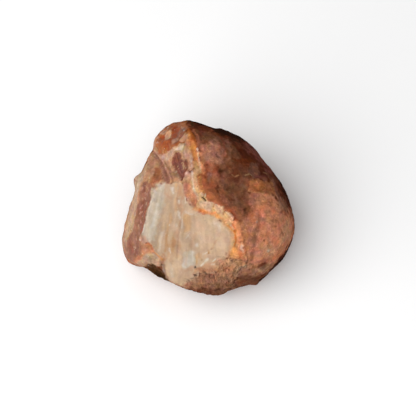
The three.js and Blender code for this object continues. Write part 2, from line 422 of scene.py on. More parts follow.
class Brush(Drawing):
    """Lays named colours on the points."""

    def __init__(self, colours, tint, surface, taking, astray, blur):
        super().__init__(surface, taking, astray, blur)
        self.colours = colours
        self.tint = tint

    def lay(self, at, colour, amount):
        amount = (amount * self.taking[at])[:, None]
        self.tint[at] += (np.array(getattr(self.colours, colour)) - self.tint[at]) * amount

    def patch(self, colour, strength, softness, outline):
        at = self.near(outline, 2 * softness * self.blur)
        distance = outline_distance(outline, self.u[at], self.v[at])
        self.lay(at, colour, strength * self.cover(at, distance, 0, softness))

    def stroke(self, colour, strength, half_width, softness, *paths):
        for path in paths:
            at = self.near(path, half_width + 2 * softness * self.blur)
            distance = path_distance(path, self.u[at], self.v[at])
            self.lay(at, colour, strength * self.cover(at, distance, half_width, softness))

    def spot(self, colour, strength, radius, *centres):
        for centre in centres:
            at = self.near([centre], radius * (1 + 2 * self.blur))
            distance = np.hypot(self.u[at] - centre[0], self.v[at] - centre[1])
            self.lay(at, colour, strength * self.cover(at, distance, radius, radius))

    def ring(self, colour, strength, radius, width, centre):
        at = self.near([centre], radius + 2 * width * self.blur)
        distance = np.abs(np.hypot(self.u[at] - centre[0], self.v[at] - centre[1]) - radius)
        self.lay(at, colour, strength * self.cover(at, distance, width / 2, width))


class Chisel(Drawing):
    """Raises and cuts the points, by heights in millimetres along the surface's own direction."""

    def __init__(self, surface, taking, astray):
        super().__init__(surface, taking, astray)
        self.height = np.zeros(len(taking))

    def scoop(self, depth, centre, half_widths, turn=0):
        """A shallow bowl with a crisp rim, as a flake leaves behind."""
        at = self.near([centre], max(half_widths))
        c, s = math.cos(math.radians(turn)), math.sin(math.radians(turn))
        u, v = self.u[at] - centre[0], self.v[at] - centre[1]
        x, y = (c * u + s * v) / half_widths[0], (c * v - s * u) / half_widths[1]
        self.height[at] -= depth * np.maximum(1 - x * x - y * y, 0)

    def ridge(self, height, half_width, path):
        """A raised line with sloping sides, or a groove where the height is negative."""
        at = self.near(path, half_width)
        distance = path_distance(path, self.u[at], self.v[at])
        self.height[at] += height * np.maximum(1 - distance / half_width, 0)

    def plateau(self, height, softness, outline):
        """A raised or sunken area with a crisp step round it."""
        at = self.near(outline, softness)
        distance = outline_distance(outline, self.u[at], self.v[at])
        self.height[at] += height * self.cover(at, distance, 0, softness)


# ----- Relief -----

def cut_ridge(chisel):
    """The crest between the inside and the skin, with the ledge along its lower half."""
    ledge = [(-2.3, 8.2), (-2.7, 5.7), (-1.2, 3), (1.2, 1.8), (3.4, 0.8), (5.8, -1.5), (7.9, -4)]
    chisel.ridge(0.35, 0.9, [(-5.2, 21.6), (-4.2, 19.4), (-3.1, 16.8), (-2.3, 13.7), (-1.6, 10.7)])
    chisel.ridge(0.55, 2.6, ledge)
    chisel.ridge(0.15, 0.5, ledge)
    chisel.ridge(0.4, 2, [(8.4, -5.4), (9.2, -8.6), (9.5, -10.4), (9.9, -12)])
    chisel.ridge(0.4, 0.4, [(9.2, -8.6), (9.5, -10.4), (9.9, -12), (10.5, -13.8)])
    chisel.ridge(-0.5, 0.3, [(-1.4, 2.6), (-0.6, 1.9)])


def cut_knob(chisel):
    """Flake scars over the knob, the rough hollow below it, and the folded edge."""
    chisel.scoop(0.35, (-11.3, 19.8), (1.5, 1.2), 35)
    chisel.scoop(0.4, (-8.9, 20.8), (1.4, 2), -20)
    chisel.scoop(0.3, (-12.8, 19), (0.9, 1.3))
    chisel.scoop(0.35, (-11.2, 16.8), (1.7, 1.4))
    chisel.scoop(0.35, (-7.9, 19.3), (1.2, 2.4), -38)
    chisel.plateau(0.3, 0.2, [
        (-9.6, 16.3), (-8.6, 16.9), (-8.2, 17.6), (-6.4, 17.4), (-6.5, 16.3), (-7, 15.6), (-9.1, 15.5)])
    chisel.plateau(-0.7, 0.5, [
        (-9.2, 15.3), (-7.4, 15.4), (-7.2, 13.6), (-5.7, 12.9), (-5.4, 10.9), (-6.5, 9.5), (-6.9, 7.3),
        (-8.2, 8.2), (-9.6, 9.5), (-9.7, 12.2), (-9.6, 13.9)])
    chisel.scoop(0.3, (-10.5, 11.9), (0.9, 1.5), 15)
    chisel.ridge(0.35, 0.4, [(-14.6, 15.8), (-12.8, 13.4), (-11.2, 10.6), (-9.9, 7.2)])
    chisel.ridge(-0.12, 0.5, [(-15, 15), (-13.4, 12.8), (-12, 10.4), (-10.8, 7.4)])
    chisel.scoop(0.4, (-13.4, 9.2), (1.5, 1.9), -20)
    chisel.scoop(0.3, (-16, 12.4), (1.4, 2.6), -20)
    chisel.ridge(-0.3, 0.5, [(-6.6, 15), (-5.6, 12.4), (-5, 10)])
    chisel.scoop(0.35, (-5.2, 5.8), (1.3, 2.6), -15)


def cut_left_side(chisel):
    """Long flake scars down the broken left side, and the undercut below them."""
    chisel.scoop(0.35, (-17.4, 2.6), (1.2, 4.6), -8)
    chisel.scoop(0.35, (-18.8, -5.4), (1.1, 4.2), -14)
    chisel.ridge(0.25, 0.35, [
        (-14.8, 6.6), (-15.6, 3.8), (-16.6, 0.4), (-17.3, -2.8), (-18.4, -5.8), (-18.5, -9)])
    chisel.scoop(0.3, (-20.4, 3.2), (1.2, 4.6), -6)
    chisel.ridge(0.25, 0.35, [(-18.2, 6.4), (-18.9, 3.6), (-19.5, -1), (-20.6, -6)])
    chisel.scoop(0.35, (-20.2, -11), (2, 2.4), 10)
    chisel.scoop(0.35, (-16.5, -11.6), (1.3, 1.7))
    chisel.ridge(0.25, 0.3, [(-15.5, -10.6), (-14.3, -12.2), (-13.2, -13.6), (-12.6, -14.6)])
    chisel.scoop(0.25, (-15.4, -14), (2, 1.2), -20)
    chisel.ridge(-0.8, 1.1, [(-16.2, -16.2), (-14.4, -16.8), (-13, -17.8), (-12.2, -18.8)])


def cut_skin(chisel):
    """Worn flats, hollows and ring marks in the skin."""
    chisel.scoop(0.3, (13, 10.4), (2, 2.6), 20)
    chisel.scoop(0.3, (3.6, 10.2), (1.4, 1.2))
    chisel.scoop(0.4, (15, 5.6), (3.6, 1.4), -8)
    chisel.scoop(0.35, (16.2, 2), (3, 1.5), -14)
    chisel.scoop(0.3, (7.2, 6), (2.4, 1.6), -30)
    chisel.scoop(0.3, (9.6, 2.6), (2.2, 1.4), -40)
    chisel.scoop(0.3, (-1, 20.2), (1.5, 1.8))
    chisel.scoop(0.25, (3.2, 15.2), (1.6, 2), 20)
    chisel.scoop(0.25, (9.8, 15.4), (2.6, 2), -40)
    chisel.ridge(-0.25, 1.2, [(13.4, -6), (12.9, -9), (12.5, -12), (12, -15)])
    chisel.ridge(-0.25, 0.8, [(14.2, -1), (14, -3.4), (13.7, -6)])
    chisel.scoop(0.25, (17.8, -10.4), (2.6, 2.2), 30)
    chisel.scoop(0.2, (15, -15.8), (1.6, 1), 20)
    chisel.scoop(0.3, (19, -4), (2.2, 2.6))
    chisel.scoop(0.3, (15.4, -8.8), (0.4, 0.35))
    chisel.ridge(-0.12, 0.2, [(15.4, -7.8), (15.7, -7.5), (16.4, -7.6), (16.6, -8.3), (16.2, -8.8)])


def cut_inside(chisel):
    """Broad flakes and steps in the milky inside."""
    chisel.scoop(0.3, (-5, -14), (2.2, 2.8), 10)
    chisel.scoop(0.3, (-9.4, -17), (2.6, 3.2), 15)
    chisel.scoop(0.3, (0.2, -16.8), (2.6, 1.3), -10)
    chisel.scoop(0.25, (-1.2, -12.4), (2, 1.4), 40)
    chisel.scoop(0.22, (-7, -3), (1.6, 4.2), 4)
    chisel.scoop(0.22, (-11.6, -6), (1.4, 5), -8)
    chisel.scoop(0.2, (-14.6, -2), (1.3, 5.2), -14)
    chisel.scoop(0.2, (1.6, -7.2), (2.6, 3.2), 10)
    chisel.scoop(0.25, (-11.4, 2.8), (1.6, 3), -10)
    chisel.ridge(-0.2, 0.35, [(-7.2, -3), (-8, -8), (-8.5, -14)])
    chisel.ridge(-0.5, 0.3, [(-3.45, -16.2), (-3.35, -16.8)])
    chisel.scoop(0.5, (-3.5, -18.5), (0.45, 0.4))


def paint_dark_shoulder(brush):
    """The old skin at the upper right: dark umber and painted shade towards the rim, red-brown and mauve
    nearer the ridge.
    """
    brush.patch("umber", 0.95, 1.4, [
        (-7.8, 25.2), (-0.8, 24.2), (5.6, 22.8), (9.7, 20.1), (14.4, 16.3), (19.3, 10.5), (22.1, 5.8),
        (24.1, -0.6), (21.8, 0), (20.4, 2), (18.6, 5.6), (17.6, 7.6), (15.2, 8.6), (13.6, 11), (12.4, 12.6),
        (10.6, 12.4), (9, 12), (8.2, 14), (7.2, 16.6), (5.4, 18.6), (1.6, 20.8), (-0.8, 21.6), (-5, 22.4),
        (-7.8, 23.6)])
    # Painted shade: near-black strokes along the rim, where the skin turns away from the light.
    brush.stroke("soot_and_shade", 1, 0.7, 0.8, [(-5.4, 24.9), (-2.4, 23.9), (1.8, 22.8), (6.3, 21.4), (9, 19.9)])
    brush.stroke("soot_and_shade", 0.9, 0.6, 0.9, [(8.4, 20.4), (11.8, 18.2), (14.8, 15), (18.8, 10.3), (21.2, 6.4)])
    brush.stroke("soot_and_shade", 0.95, 0.8, 1, [(20.8, 6.8), (22.4, 3), (23.4, 0.6)])
    brush.spot("olive", 0.9, 0.5, (-4.3, 22.7))
    brush.stroke("bark", 0.8, 0.3, 0.4, [(-6.9, 23.6), (-5.9, 23.3)])
    brush.stroke("rust", 0.8, 0.4, 0.5, [(-5.6, 22.9), (-4.6, 21.6), (-3.4, 21)])
    brush.patch("chestnut", 0.85, 0.6, [
        (-4.4, 20.6), (-3, 21.2), (-2.4, 20.6), (-2.2, 18.6), (-2.6, 17.6), (-3.4, 18.8)])
    brush.patch("plum", 0.8, 0.5, [
        (-2.3, 21.6), (-1.2, 22), (-0.2, 21.4), (0.1, 20.3), (-0.3, 19), (-1.8, 18.8), (-2.4, 19.6)])
    brush.patch("brick", 0.7, 0.6, [
        (0.2, 20.3), (2.2, 20.2), (3.6, 19), (3.4, 18), (0.4, 18.2), (-0.2, 19.2)])
    brush.patch("chestnut", 0.9, 1, [
        (-0.8, 21), (1.6, 20.6), (3.6, 19.6), (6, 18), (7.6, 16.2), (9, 14.4), (9.6, 11.8), (-1.8, 11.4),
        (-2.6, 18)])
    brush.patch("chestnut", 0.9, 1, [(5.4, 18.2), (7, 17), (8.4, 14.2), (8, 12.4), (6.2, 11.8), (5, 14)])
    brush.spot("umber", 0.4, 0.9, (6.6, 13.8))
    brush.patch("rose", 0.9, 0.8, [
        (-2.3, 17.6), (0.4, 18), (2.4, 18.2), (4.1, 17.2), (4.8, 15.4), (5, 14), (4, 12.6), (2.6, 12.2),
        (0.2, 11.9), (-1.2, 12.2), (-1.9, 14.4)])
    brush.spot("ash", 0.7, 0.8, (-0.2, 13.9))
    brush.spot("salmon", 0.7, 0.8, (2.1, 16.1))
    brush.stroke("ash", 0.85, 0.35, 0.5, [(4, 19.4), (5.5, 17.7), (5.9, 15.6), (5.7, 13.6), (5, 12.6)])
    brush.stroke("plum", 0.7, 0.3, 0.4, [(3.7, 18.9), (4.5, 17.2), (4.7, 15.6)])
    brush.ring("peach", 0.6, 0.5, 0.18, (0.4, 15.9))
    brush.stroke("peach", 0.6, 0.14, 0.2, [(-0.4, 16.3), (0, 17.1), (1, 17.4), (2, 17.1), (2.4, 16.4)])
    brush.stroke("amber", 0.2, 0.3, 0.5, [(-1.6, 16.4), (-1.5, 15.2)])
    brush.stroke("chestnut", 0.6, 0.12, 0.2, [(2.2, 14.3), (2.7, 14.8), (2.5, 13.7)])
    # Below the rose patch, down to the ledge.
    brush.patch("terracotta", 0.8, 1, [
        (-2.2, 12), (0.4, 12.2), (2.6, 12), (3.2, 9.4), (2.6, 7), (1.6, 5.4), (-2, 4.8), (-3, 8)])
    brush.stroke("apricot", 0.5, 0.35, 0.5, [(-1.2, 12.4), (-1.1, 10.8), (-1.2, 9.4)])
    brush.stroke("rose", 0.5, 0.5, 0.7, [(0.8, 12.2), (1.2, 11.6)])
    brush.stroke("brick", 0.6, 0.5, 0.6, [(0, 12.2), (0.6, 11), (0.6, 9.8)])
    brush.stroke("rose", 0.9, 0.7, 0.8, [(0.6, 9.2), (0.2, 7.4)])
    # The bands nearer the right edge.
    brush.patch("rust", 0.9, 0.8, [
        (6.8, 13.2), (9.4, 13.8), (13.2, 13.8), (12.8, 12.4), (9.6, 10.8), (7.2, 10.8)])
    brush.stroke("brick", 0.2, 0.2, 0.3, [(7.8, 11.6), (9.6, 11.8), (11.6, 12)])
    brush.patch("ash", 0.6, 0.6, [
        (11.2, 11.6), (12.5, 12.2), (14, 12), (14.6, 10.2), (13.6, 8.4), (12, 7.4), (11.1, 9)])
    brush.stroke("mauve", 0.4, 0.4, 0.5, [(12.2, 11), (12.6, 9.6)])
    brush.patch("umber", 0.85, 0.7, [
        (14.2, 12.4), (16.4, 12.4), (17.2, 10.8), (16.4, 9.2), (14.8, 8.8), (14.2, 10)])
    brush.spot("soot_and_shade", 0.8, 0.4, (16.3, 10))
    brush.stroke("ash", 0.85, 0.6, 0.9, [(17.9, 7.2), (18.9, 4.4), (19.6, 2.2), (20.2, 0.4)])
    brush.stroke("plum", 0.5, 0.4, 0.6, [(18.8, 6), (19.8, 3.4)])
    brush.stroke("chestnut", 0.7, 0.5, 0.9, [(16.2, 9.6), (17.4, 8.2)])
    # The shaded rim.
    brush.stroke("rust", 0.8, 0.7, 0.9, [(-1.6, 21.8), (1.6, 20.9), (4.6, 19.6)])
    brush.patch("umber", 0.85, 1, [
        (4, 20.8), (6.4, 18.9), (8.2, 16.2), (10.2, 14.6), (13.2, 13.4), (16.8, 12), (13.1, 16.6),
        (9.4, 19.6), (6, 21.4)])
    brush.stroke("chestnut", 0.5, 0.3, 0.6, [(7, 18.8), (9, 16.8), (11.6, 15.4)])
    brush.stroke("soot_and_shade", 0.9, 0.35, 0.6, [
        (-8.6, 24.4), (-5.8, 24.5), (-2.8, 23.7), (1.4, 22.2), (3.3, 22.1), (6.1, 21.1), (9.4, 19.3),
        (13.1, 16.3)])
    brush.stroke("soot_and_shade", 0.85, 0.9, 0.8, [(2, 21.6), (5.8, 20.3), (8.6, 18.9)])
    brush.stroke("wine", 0.85, 0.8, 1, [(10.9, 17.3), (13, 15.2), (15, 13), (17.4, 10.2)])


def paint_hollow(brush):
    """The brown worn hollow in the middle of the skin, with the terracotta band between it and the ridge."""
    brush.patch("bark", 0.95, 1.2, [
        (3.6, 12.4), (5.6, 12.4), (8, 10.8), (11, 8.6), (11.4, 5.5), (11.6, 3.6), (14.2, 3.2), (14.2, 1),
        (11.9, 0.4), (11.4, -1.8), (9.4, -3), (7.2, -1.8), (5.6, -0.4), (4, 1.2), (3.2, 2.8), (2.6, 5),
        (3.2, 8.9)])
    brush.patch("brick", 0.8, 1, [
        (4, 2.2), (6.6, 1.2), (8.8, -0.4), (10.2, -2.4), (9.6, -3.4), (7.8, -2.8), (6, -1), (4.2, 0.6)])
    brush.patch("chestnut", 0.85, 1.2, [(4.8, 12), (8.6, 12), (11.2, 11), (10.4, 8), (8, 7.4), (5, 9.2)])
    brush.stroke("umber", 0.6, 0.8, 1.2, [(5.6, 10.8), (7.4, 10.2), (8.2, 8.2)])
    brush.patch("umber", 0.4, 1.2, [
        (6.4, 12.6), (9.4, 12.6), (10.8, 11.2), (9.6, 8.4), (7.4, 6.8), (6.2, 8.4), (7, 10.4)])
    brush.patch("terracotta", 0.8, 0.7, [
        (-1.8, 5.2), (1, 5.4), (2.4, 4.2), (3, 2.4), (4.8, 0.8), (6, -0.6), (5.4, -1), (4.3, -0.1),
        (2.2, 1.1), (0.2, 2.2), (-1.2, 3.6)])
    brush.stroke("brick", 0.8, 0.8, 0.9, [(2.3, 9.2), (2.2, 7)])
    brush.stroke("mauve", 0.7, 0.8, 0.9, [(4, 9), (4.2, 6.8)])
    brush.stroke("brick", 0.7, 0.8, 1, [(3.8, 4.6), (4.2, 2)])
    brush.stroke("mauve", 0.7, 0.8, 1, [(7.4, 3), (8.6, 1.2)])
    brush.spot("umber", 0.4, 1, (6.2, 8.2))
    brush.spot("umber", 0.5, 0.9, (10, 4))
    brush.spot("ash", 0.6, 0.8, (12.2, 8.2))
    brush.stroke("brick", 0.7, 0.45, 0.5, [(5.8, -0.7), (7.2, -2.2), (8.4, -3.3), (9.5, -3.7)])
    brush.stroke("flame", 0.35, 0.3, 0.5, [(5.6, -0.8), (6.9, -2.3), (8, -3.5), (9.2, -4.1)])
    brush.spot("soot_and_shade", 0.8, 0.4, (3.8, 10.2))
    brush.spot("umber", 0.5, 0.8, (3.8, 10.2))
    brush.spot("umber", 0.7, 0.4, (5.2, 5))
    brush.spot("umber", 0.6, 0.9, (9, 6.6))
    brush.stroke("ash", 0.6, 0.4, 0.6, [(5.6, 6.8), (6.6, 6.2)], [(9, 6.4), (10, 5.8)])
    brush.stroke("umber", 0.6, 0.16, 0.25, [(5.5, 2.3), (6.5, 2.2), (7.5, 2)])
    brush.spot("soot_and_shade", 0.7, 0.5, (9.8, -0.6))
    brush.stroke("umber", 0.4, 0.5, 0.7, [(9, 0.6), (10.4, -1.6)])
    brush.stroke(
        "sand", 0.5, 0.12, 0.2,
        [(10.2, 8.9), (11, 9.1), (11.8, 8.8)], [(13.5, 7.4), (14.1, 7.2), (14.8, 6.8)],
    )
    brush.stroke(
        "sand", 0.4, 0.12, 0.2,
        [(6.6, 8.9), (7.2, 8.5), (8.2, 8.5)], [(15.1, 9.9), (15.9, 9.6), (16.2, 9.1)],
    )


def paint_salmon(brush):
    """The salmon skin at the lower right, with its orange top, mauve groove and dark smudges."""
    brush.patch("clay", 0.9, 1, [
        (3, -13.6), (11, -13.4), (19.6, -13.6), (18, -18.6), (13.8, -22.4), (6.4, -23.6), (0.4, -25),
        (-7.6, -23), (-4, -20.4), (2.6, -18.4)])
    brush.patch("salmon", 0.95, 1.2, [
        (8.7, -3.4), (10.6, -2.8), (12, -1.2), (11.6, 0.9), (11.6, 3.4), (14.4, 4.4), (17.6, 4), (18.6, 2.6),
        (19.2, 0.8), (20.6, -1), (22.6, -2.4), (23.9, -4.6), (23.6, -8.2), (22, -11.2), (20, -14),
        (17.6, -15.6), (14.4, -15.6), (12.6, -15.8), (10.4, -15.6), (9.8, -12.8), (9.3, -9.4), (8.7, -6)])
    brush.patch("tawny", 0.95, 0.5, [
        (11.1, 7.4), (13.7, 7.5), (16.1, 7.1), (17.6, 6.6), (18.2, 4.6), (17.6, 3.9), (14.4, 4), (11.2, 4.3)])
    brush.stroke("wine", 0.8, 0.5, 0.7, [(12.8, 8.4), (15, 8)])
    brush.stroke("brick", 0.4, 0.2, 0.3, [(12, 6.4), (14, 6.4), (16.8, 5.8)])
    brush.stroke("terracotta", 0.6, 0.25, 0.3, [(12.2, 5.2), (14.4, 5.2), (17.2, 4.8)])
    brush.stroke("sand", 0.35, 0.16, 0.2, [(11.4, 4.4), (13.2, 4.2), (15.2, 4)])
    brush.stroke("umber", 0.35, 0.14, 0.2, [(11.1, 7.2), (11.2, 5.6), (11.1, 4.4)])
    brush.patch("mauve", 0.85, 0.9, [(11, 3.8), (13.2, 4), (14, 2.8), (12.8, 0.8), (11.4, 0.4)])
    brush.stroke("brick", 0.8, 0.7, 1, [(12, -0.6), (11.9, -2.4), (11.8, -4)])
    brush.stroke("brick", 0.6, 0.5, 0.9, [(14.8, -5.4), (14.4, -8)])
    brush.patch("peach", 0.6, 1.4, [(14.6, -9.8), (17.4, -9.4), (19, -11.2), (17.4, -13), (14.8, -12.6)])
    brush.patch("peach", 0.9, 1.2, [
        (20.2, -3.8), (21.8, -4.2), (22.8, -6.6), (22.2, -9.2), (20.2, -9.4), (20.2, -7.2)])
    brush.stroke("apricot", 0.6, 0.6, 0.9, [(10, -6.4), (10.1, -8.4), (10.2, -10.8)])
    brush.stroke("apricot", 0.7, 0.6, 0.9, [(18.4, -13.4), (20.8, -12)])
    brush.patch("clay", 0.7, 1, [
        (19, 2.6), (20.8, 2.6), (21.8, 0.6), (21.8, -1.4), (20.2, -1), (19.2, 0.4)])
    brush.patch("coral", 0.6, 0.8, [
        (15.3, 2.4), (17.6, 2.6), (18.7, 0.8), (18.6, -1), (17.6, -2.2), (15.8, -2), (15, -0.4)])
    brush.stroke("tawny", 0.5, 0.4, 0.7, [(16, 1.6), (17, 0.6)])
    brush.stroke(
        "mauve", 0.6, 0.5, 0.9,
        [(14.2, -2.3), (13.6, -4.4), (13.2, -6), (12.9, -8)],
        [(12.9, -8), (12.5, -10), (12.2, -12), (11.9, -14.4)],
    )
    brush.spot("slate", 0.6, 0.3, (13.1, -3.7))
    brush.stroke("rose", 0.5, 0.6, 1, [(9.9, -5.6), (11.2, -6.6), (11.8, -8.2)])
    brush.stroke("coral", 0.8, 0.55, 0.6, [(7.9, -4), (9.4, -4.4), (10.3, -5.4)])
    brush.stroke("coral", 0.7, 0.5, 0.7, [(8.4, -4.8), (8.8, -7), (9.1, -9.2)])
    brush.stroke("clay", 0.5, 0.8, 1.2, [(15.4, -2), (14.6, -3.2)], [(12.6, -11.8), (13.8, -12.6)])
    brush.stroke("bark", 0.6, 0.35, 0.5, [(17.9, -3.2), (18.6, -3.8), (19.3, -4.2)])
    brush.spot("umber", 0.7, 0.25, (18.8, -5.3))
    brush.stroke("umber", 0.45, 0.14, 0.3, [(19.6, -5.9), (20.1, -6.6), (20.4, -7.5)])
    brush.stroke("peach", 0.6, 0.2, 0.3, [(20.4, -2.1), (21.6, -2.5), (22.2, -3.4)])
    brush.spot("umber", 0.85, 0.2, (15.3, -8.8))
    brush.spot("frost", 0.45, 0.3, (16.8, -11.7))
    brush.patch("mauve", 0.3, 1.6, [
        (19.4, -11.6), (21.4, -10.4), (21.6, -11.8), (19.9, -14.4), (18.3, -15.5)])
    brush.patch("bark", 0.75, 0.9, [
        (13.4, -16.4), (14, -15.2), (15.2, -14.6), (16.4, -14.8), (16.4, -16.2), (14.8, -17)])
    brush.stroke("umber", 0.8, 0.45, 0.6, [(14.1, -16.1), (14.9, -15.5), (15.7, -15.4)])
    brush.stroke("bark", 0.7, 0.3, 0.3, [(13.6, -16.3), (14.4, -16.6), (15.6, -16.3)])
    brush.stroke("mauve", 0.7, 0.3, 0.5, [(16.8, -14.2), (15.2, -14.2), (13.4, -15)])
    brush.spot("soot_and_shade", 0.7, 0.2, (12.1, -15.5))
    brush.patch("clay", 0.85, 0.9, [
        (9.6, -15.2), (11.8, -15.4), (13.6, -16.2), (16, -17), (18.2, -15.6), (16.6, -18.8), (12.7, -20),
        (8.7, -19.6), (6.6, -18.9), (7.8, -16.6)])
    brush.stroke("mauve", 0.6, 0.8, 0.9, [(9.8, -18), (12.2, -17.6), (14.2, -18)])
    brush.stroke("sand", 0.4, 0.2, 0.3, [(12.8, -16.8), (14.4, -17.3), (15.8, -17.3)])
    brush.patch("chestnut", 0.85, 0.8, [
        (9.6, -18.4), (12.4, -18.4), (14.6, -18.6), (17, -17.8), (15, -20.6), (13.6, -22), (8.6, -22.4),
        (7, -21.6), (7.6, -18.8)])
    brush.stroke("umber", 0.5, 0.7, 1.2, [(7.6, -20.6), (9.6, -20.2), (13.6, -19.4)])
    brush.stroke("umber", 0.5, 0.4, 0.8, [(8.4, -22), (11, -21.4), (13.6, -21), (15.6, -19.2)])
    brush.stroke("rust", 0.7, 0.35, 0.5, [(13.8, -19.4), (15.4, -18.8), (16.4, -18.2)])
    # The dark crescent inside the right-hand rim: painted shade where the edge turns away from the light.
    brush.stroke("umber", 0.8, 0.2, 0.4, [(23.1, 0.8), (24, -1.8), (24.6, -4.6), (24.5, -7.4)])
    brush.patch("umber", 0.95, 0.35, [
        (24.8, -7.6), (24, -8), (23.3, -8.9), (22.3, -10), (21.5, -11.5), (20.7, -12.7), (19.6, -14),
        (18.6, -15.4), (16.6, -17.6), (17.6, -18.6), (22.6, -14), (24.6, -10)])
    brush.stroke("soot_and_shade", 0.9, 0.4, 0.5, [(24, -8.4), (22.4, -11.6), (20.2, -14.6), (17.4, -18), (14.4, -21)])


def paint_milk(brush):
    """The milky inside: cool white at its left edge, warmer to the right, with streaks down the fibres."""
    brush.patch("tan", 0.9, 0.4, GLASSY_BREAKS)
    brush.stroke("sand", 0.9, 1.3, 0.6, [
        (-4.4, 8), (-3.6, 4), (-0.4, 0.2), (3.2, -2), (6.2, -5), (7.4, -9), (7.2, -12.6)])
    brush.patch("milk", 1, 0.3, MILKY_FACE)
    brush.patch("cream", 0.9, 1.5, [
        (-4.6, -0.4), (-1, -2), (2.3, -3.2), (5, -5.4), (6.3, -8.8), (5.6, -12.6), (2.8, -14), (-0.6, -12.4),
        (-2.4, -9.4), (-4, -6)])
    brush.patch("pearl", 0.95, 0.8, [
        (-15.6, 5.4), (-14, 6.5), (-11.6, 6.8), (-11.6, 3.8), (-12, 1), (-12.9, -2), (-14, -5), (-14.6, -9),
        (-16.4, -9.4), (-18.2, -7.4), (-17.8, -4.8), (-17, -2), (-16.6, 0.4), (-15.9, 2.6)])
    brush.patch("cream", 0.6, 0.8, [(-12, -9), (-7.6, -13), (-7.4, -18.4), (-9.6, -20.6), (-11.6, -18.8)])
    brush.patch("biscuit", 0.5, 1.2, [
        (-8.8, -18.4), (-4.6, -17.2), (-2.8, -19.6), (-5.2, -20.8), (-8.6, -21.6)])
    # The cool strip.
    brush.stroke("mauve", 0.22, 0.4, 0.8, [(-15.2, 4.6), (-15.4, 2.6)])
    brush.stroke("frost", 0.6, 0.35, 0.5, [(-13.8, 1), (-14.2, -1), (-14.8, -3.2), (-15.4, -5)])
    brush.stroke("frost", 0.45, 0.3, 0.5, [(-15.4, -5), (-15.9, -7.8)])
    brush.stroke("frost", 0.5, 0.22, 0.25, [(-15, 2.2), (-15.5, 1.2), (-16, 0.2)])
    brush.stroke("frost", 0.5, 0.18, 0.25, [(-14.6, 4.6), (-14.2, 4.2)])
    brush.stroke("frost", 0.8, 0.16, 0.2, [(-17.2, -4.2), (-17.6, -5.6), (-17.9, -6.8)])
    brush.stroke("slate", 0.4, 0.2, 0.3, [(-14.7, 2.4), (-15.3, 1), (-15.9, -0.6), (-15.8, -2)])
    brush.stroke("slate", 0.35, 0.12, 0.25, [(-16.3, -4.6), (-16.5, -7), (-16.5, -9.2)])
    brush.stroke("slate", 0.25, 0.3, 0.5, [(-13, -4), (-13.4, -7), (-14.4, -10.4)])
    brush.stroke("slate", 0.25, 0.25, 0.4, [(-14.2, 4.2), (-14.4, 1.6)])
    brush.stroke("slate", 0.2, 0.25, 0.4, [(-12.6, 3.2), (-13, -0.6)])
    # The top, with its three short peaks.
    brush.stroke("cream", 0.9, 0.2, 0.25, [(-12.9, 7.6), (-13.4, 6.8)])
    brush.stroke("frost", 0.7, 0.4, 0.5, [(-9.9, 5.2), (-9.7, 4.2)])
    brush.stroke("frost", 0.35, 0.2, 0.3, [(-12.8, 6.2), (-12.7, 4.8)])
    brush.stroke("tan", 0.45, 0.2, 0.3, [(-11.4, 6.8), (-11.6, 5.2), (-11.7, 3.8)])
    brush.stroke("tan", 0.4, 0.5, 0.6, [(-11.2, 3.4), (-10.2, 2.4)])
    brush.stroke("honey", 0.7, 0.3, 0.4, [(-8.7, 6.4), (-8.7, 4.2)])
    brush.stroke("tan", 0.7, 0.6, 0.7, [(-7.7, 6.2), (-7.5, 4.2), (-7, 2.8)])
    brush.spot("chestnut", 0.8, 0.28, (-8.4, 2.4))
    # Streaks down the middle, with small frost flecks as painted glints.
    brush.stroke("honey", 0.65, 0.45, 0.5, [(-8.8, 2), (-8.7, -1)])
    brush.stroke("biscuit", 0.9, 0.6, 0.7, [(-8.2, 1.8), (-7.8, -0.8)])
    brush.stroke("mauve", 0.3, 0.5, 0.8, [(-8.2, 1.8), (-7.9, -0.4)])
    brush.stroke("tan", 0.5, 0.4, 0.6, [(-8.2, 4.6), (-8, 3.2)])
    brush.stroke("tan", 0.5, 0.5, 0.7, [(-7.6, 1), (-7.2, -0.6)])
    brush.stroke("frost", 0.6, 0.22, 0.25, [(-8.1, 1.9), (-7.9, 1.3)])
    brush.stroke("frost", 0.6, 0.3, 0.3, [(-8.1, -1.1), (-8, -2.2), (-7.6, -3)])
    brush.stroke("cream", 0.7, 0.6, 0.5, [(-8.8, -1.8), (-9, -4), (-9, -5.6)])
    brush.stroke("honey", 0.7, 0.35, 0.5, [(-10.2, -1.8), (-10.4, -4), (-11, -5.8), (-11.4, -8.2)])
    brush.stroke("ochre", 0.55, 0.35, 0.4, [(-11.3, -7.6), (-11.4, -9.6), (-11.8, -12)])
    brush.stroke("frost", 0.65, 0.14, 0.2, [(-10.7, -4.5), (-10.6, -5.1)])
    brush.stroke("frost", 0.6, 0.14, 0.2, [(-8.7, -4.5), (-8.6, -5)])
    brush.stroke("tan", 0.6, 0.12, 0.2, [(-7.2, -1.4), (-7.6, -3.4), (-7.9, -5.6)])
    brush.patch("honey", 0.75, 0.4, [
        (-6.9, -1.8), (-4.7, -2.2), (-4.6, -4.6), (-4.9, -6.4), (-6.6, -6.6), (-6.9, -4)])
    brush.stroke("frost", 0.45, 0.1, 0.15, [(-7, -3.2), (-7.2, -5.8)])
    brush.stroke("frost", 0.5, 0.2, 0.3, [(-6.3, 2.8), (-6, 1.2)])
    brush.stroke("frost", 0.4, 0.12, 0.2, [(-6.2, -1), (-5.2, -1.7), (-4, -1.8), (-2.9, -2.2)])
    brush.stroke("tan", 0.4, 0.4, 0.5, [(-8.2, -6), (-8, -9), (-7.8, -11.2)])
    brush.stroke("frost", 0.35, 0.3, 0.4, [(-12.6, -7), (-13, -9.6), (-13.5, -11.6)])
    brush.stroke("ochre", 0.55, 0.65, 0.7, [(-9.4, -8.2), (-9.4, -10.2), (-9.8, -12.2)])
    brush.stroke("tawny", 0.35, 0.4, 0.5, [(-9.3, -9), (-9.3, -10.8)])
    brush.stroke("ochre", 0.4, 0.5, 0.6, [(-10.6, -10.4), (-11, -13.4)])
    brush.stroke("frost", 0.6, 0.22, 0.25, [(-10.6, -11.4), (-10.4, -12.3)])
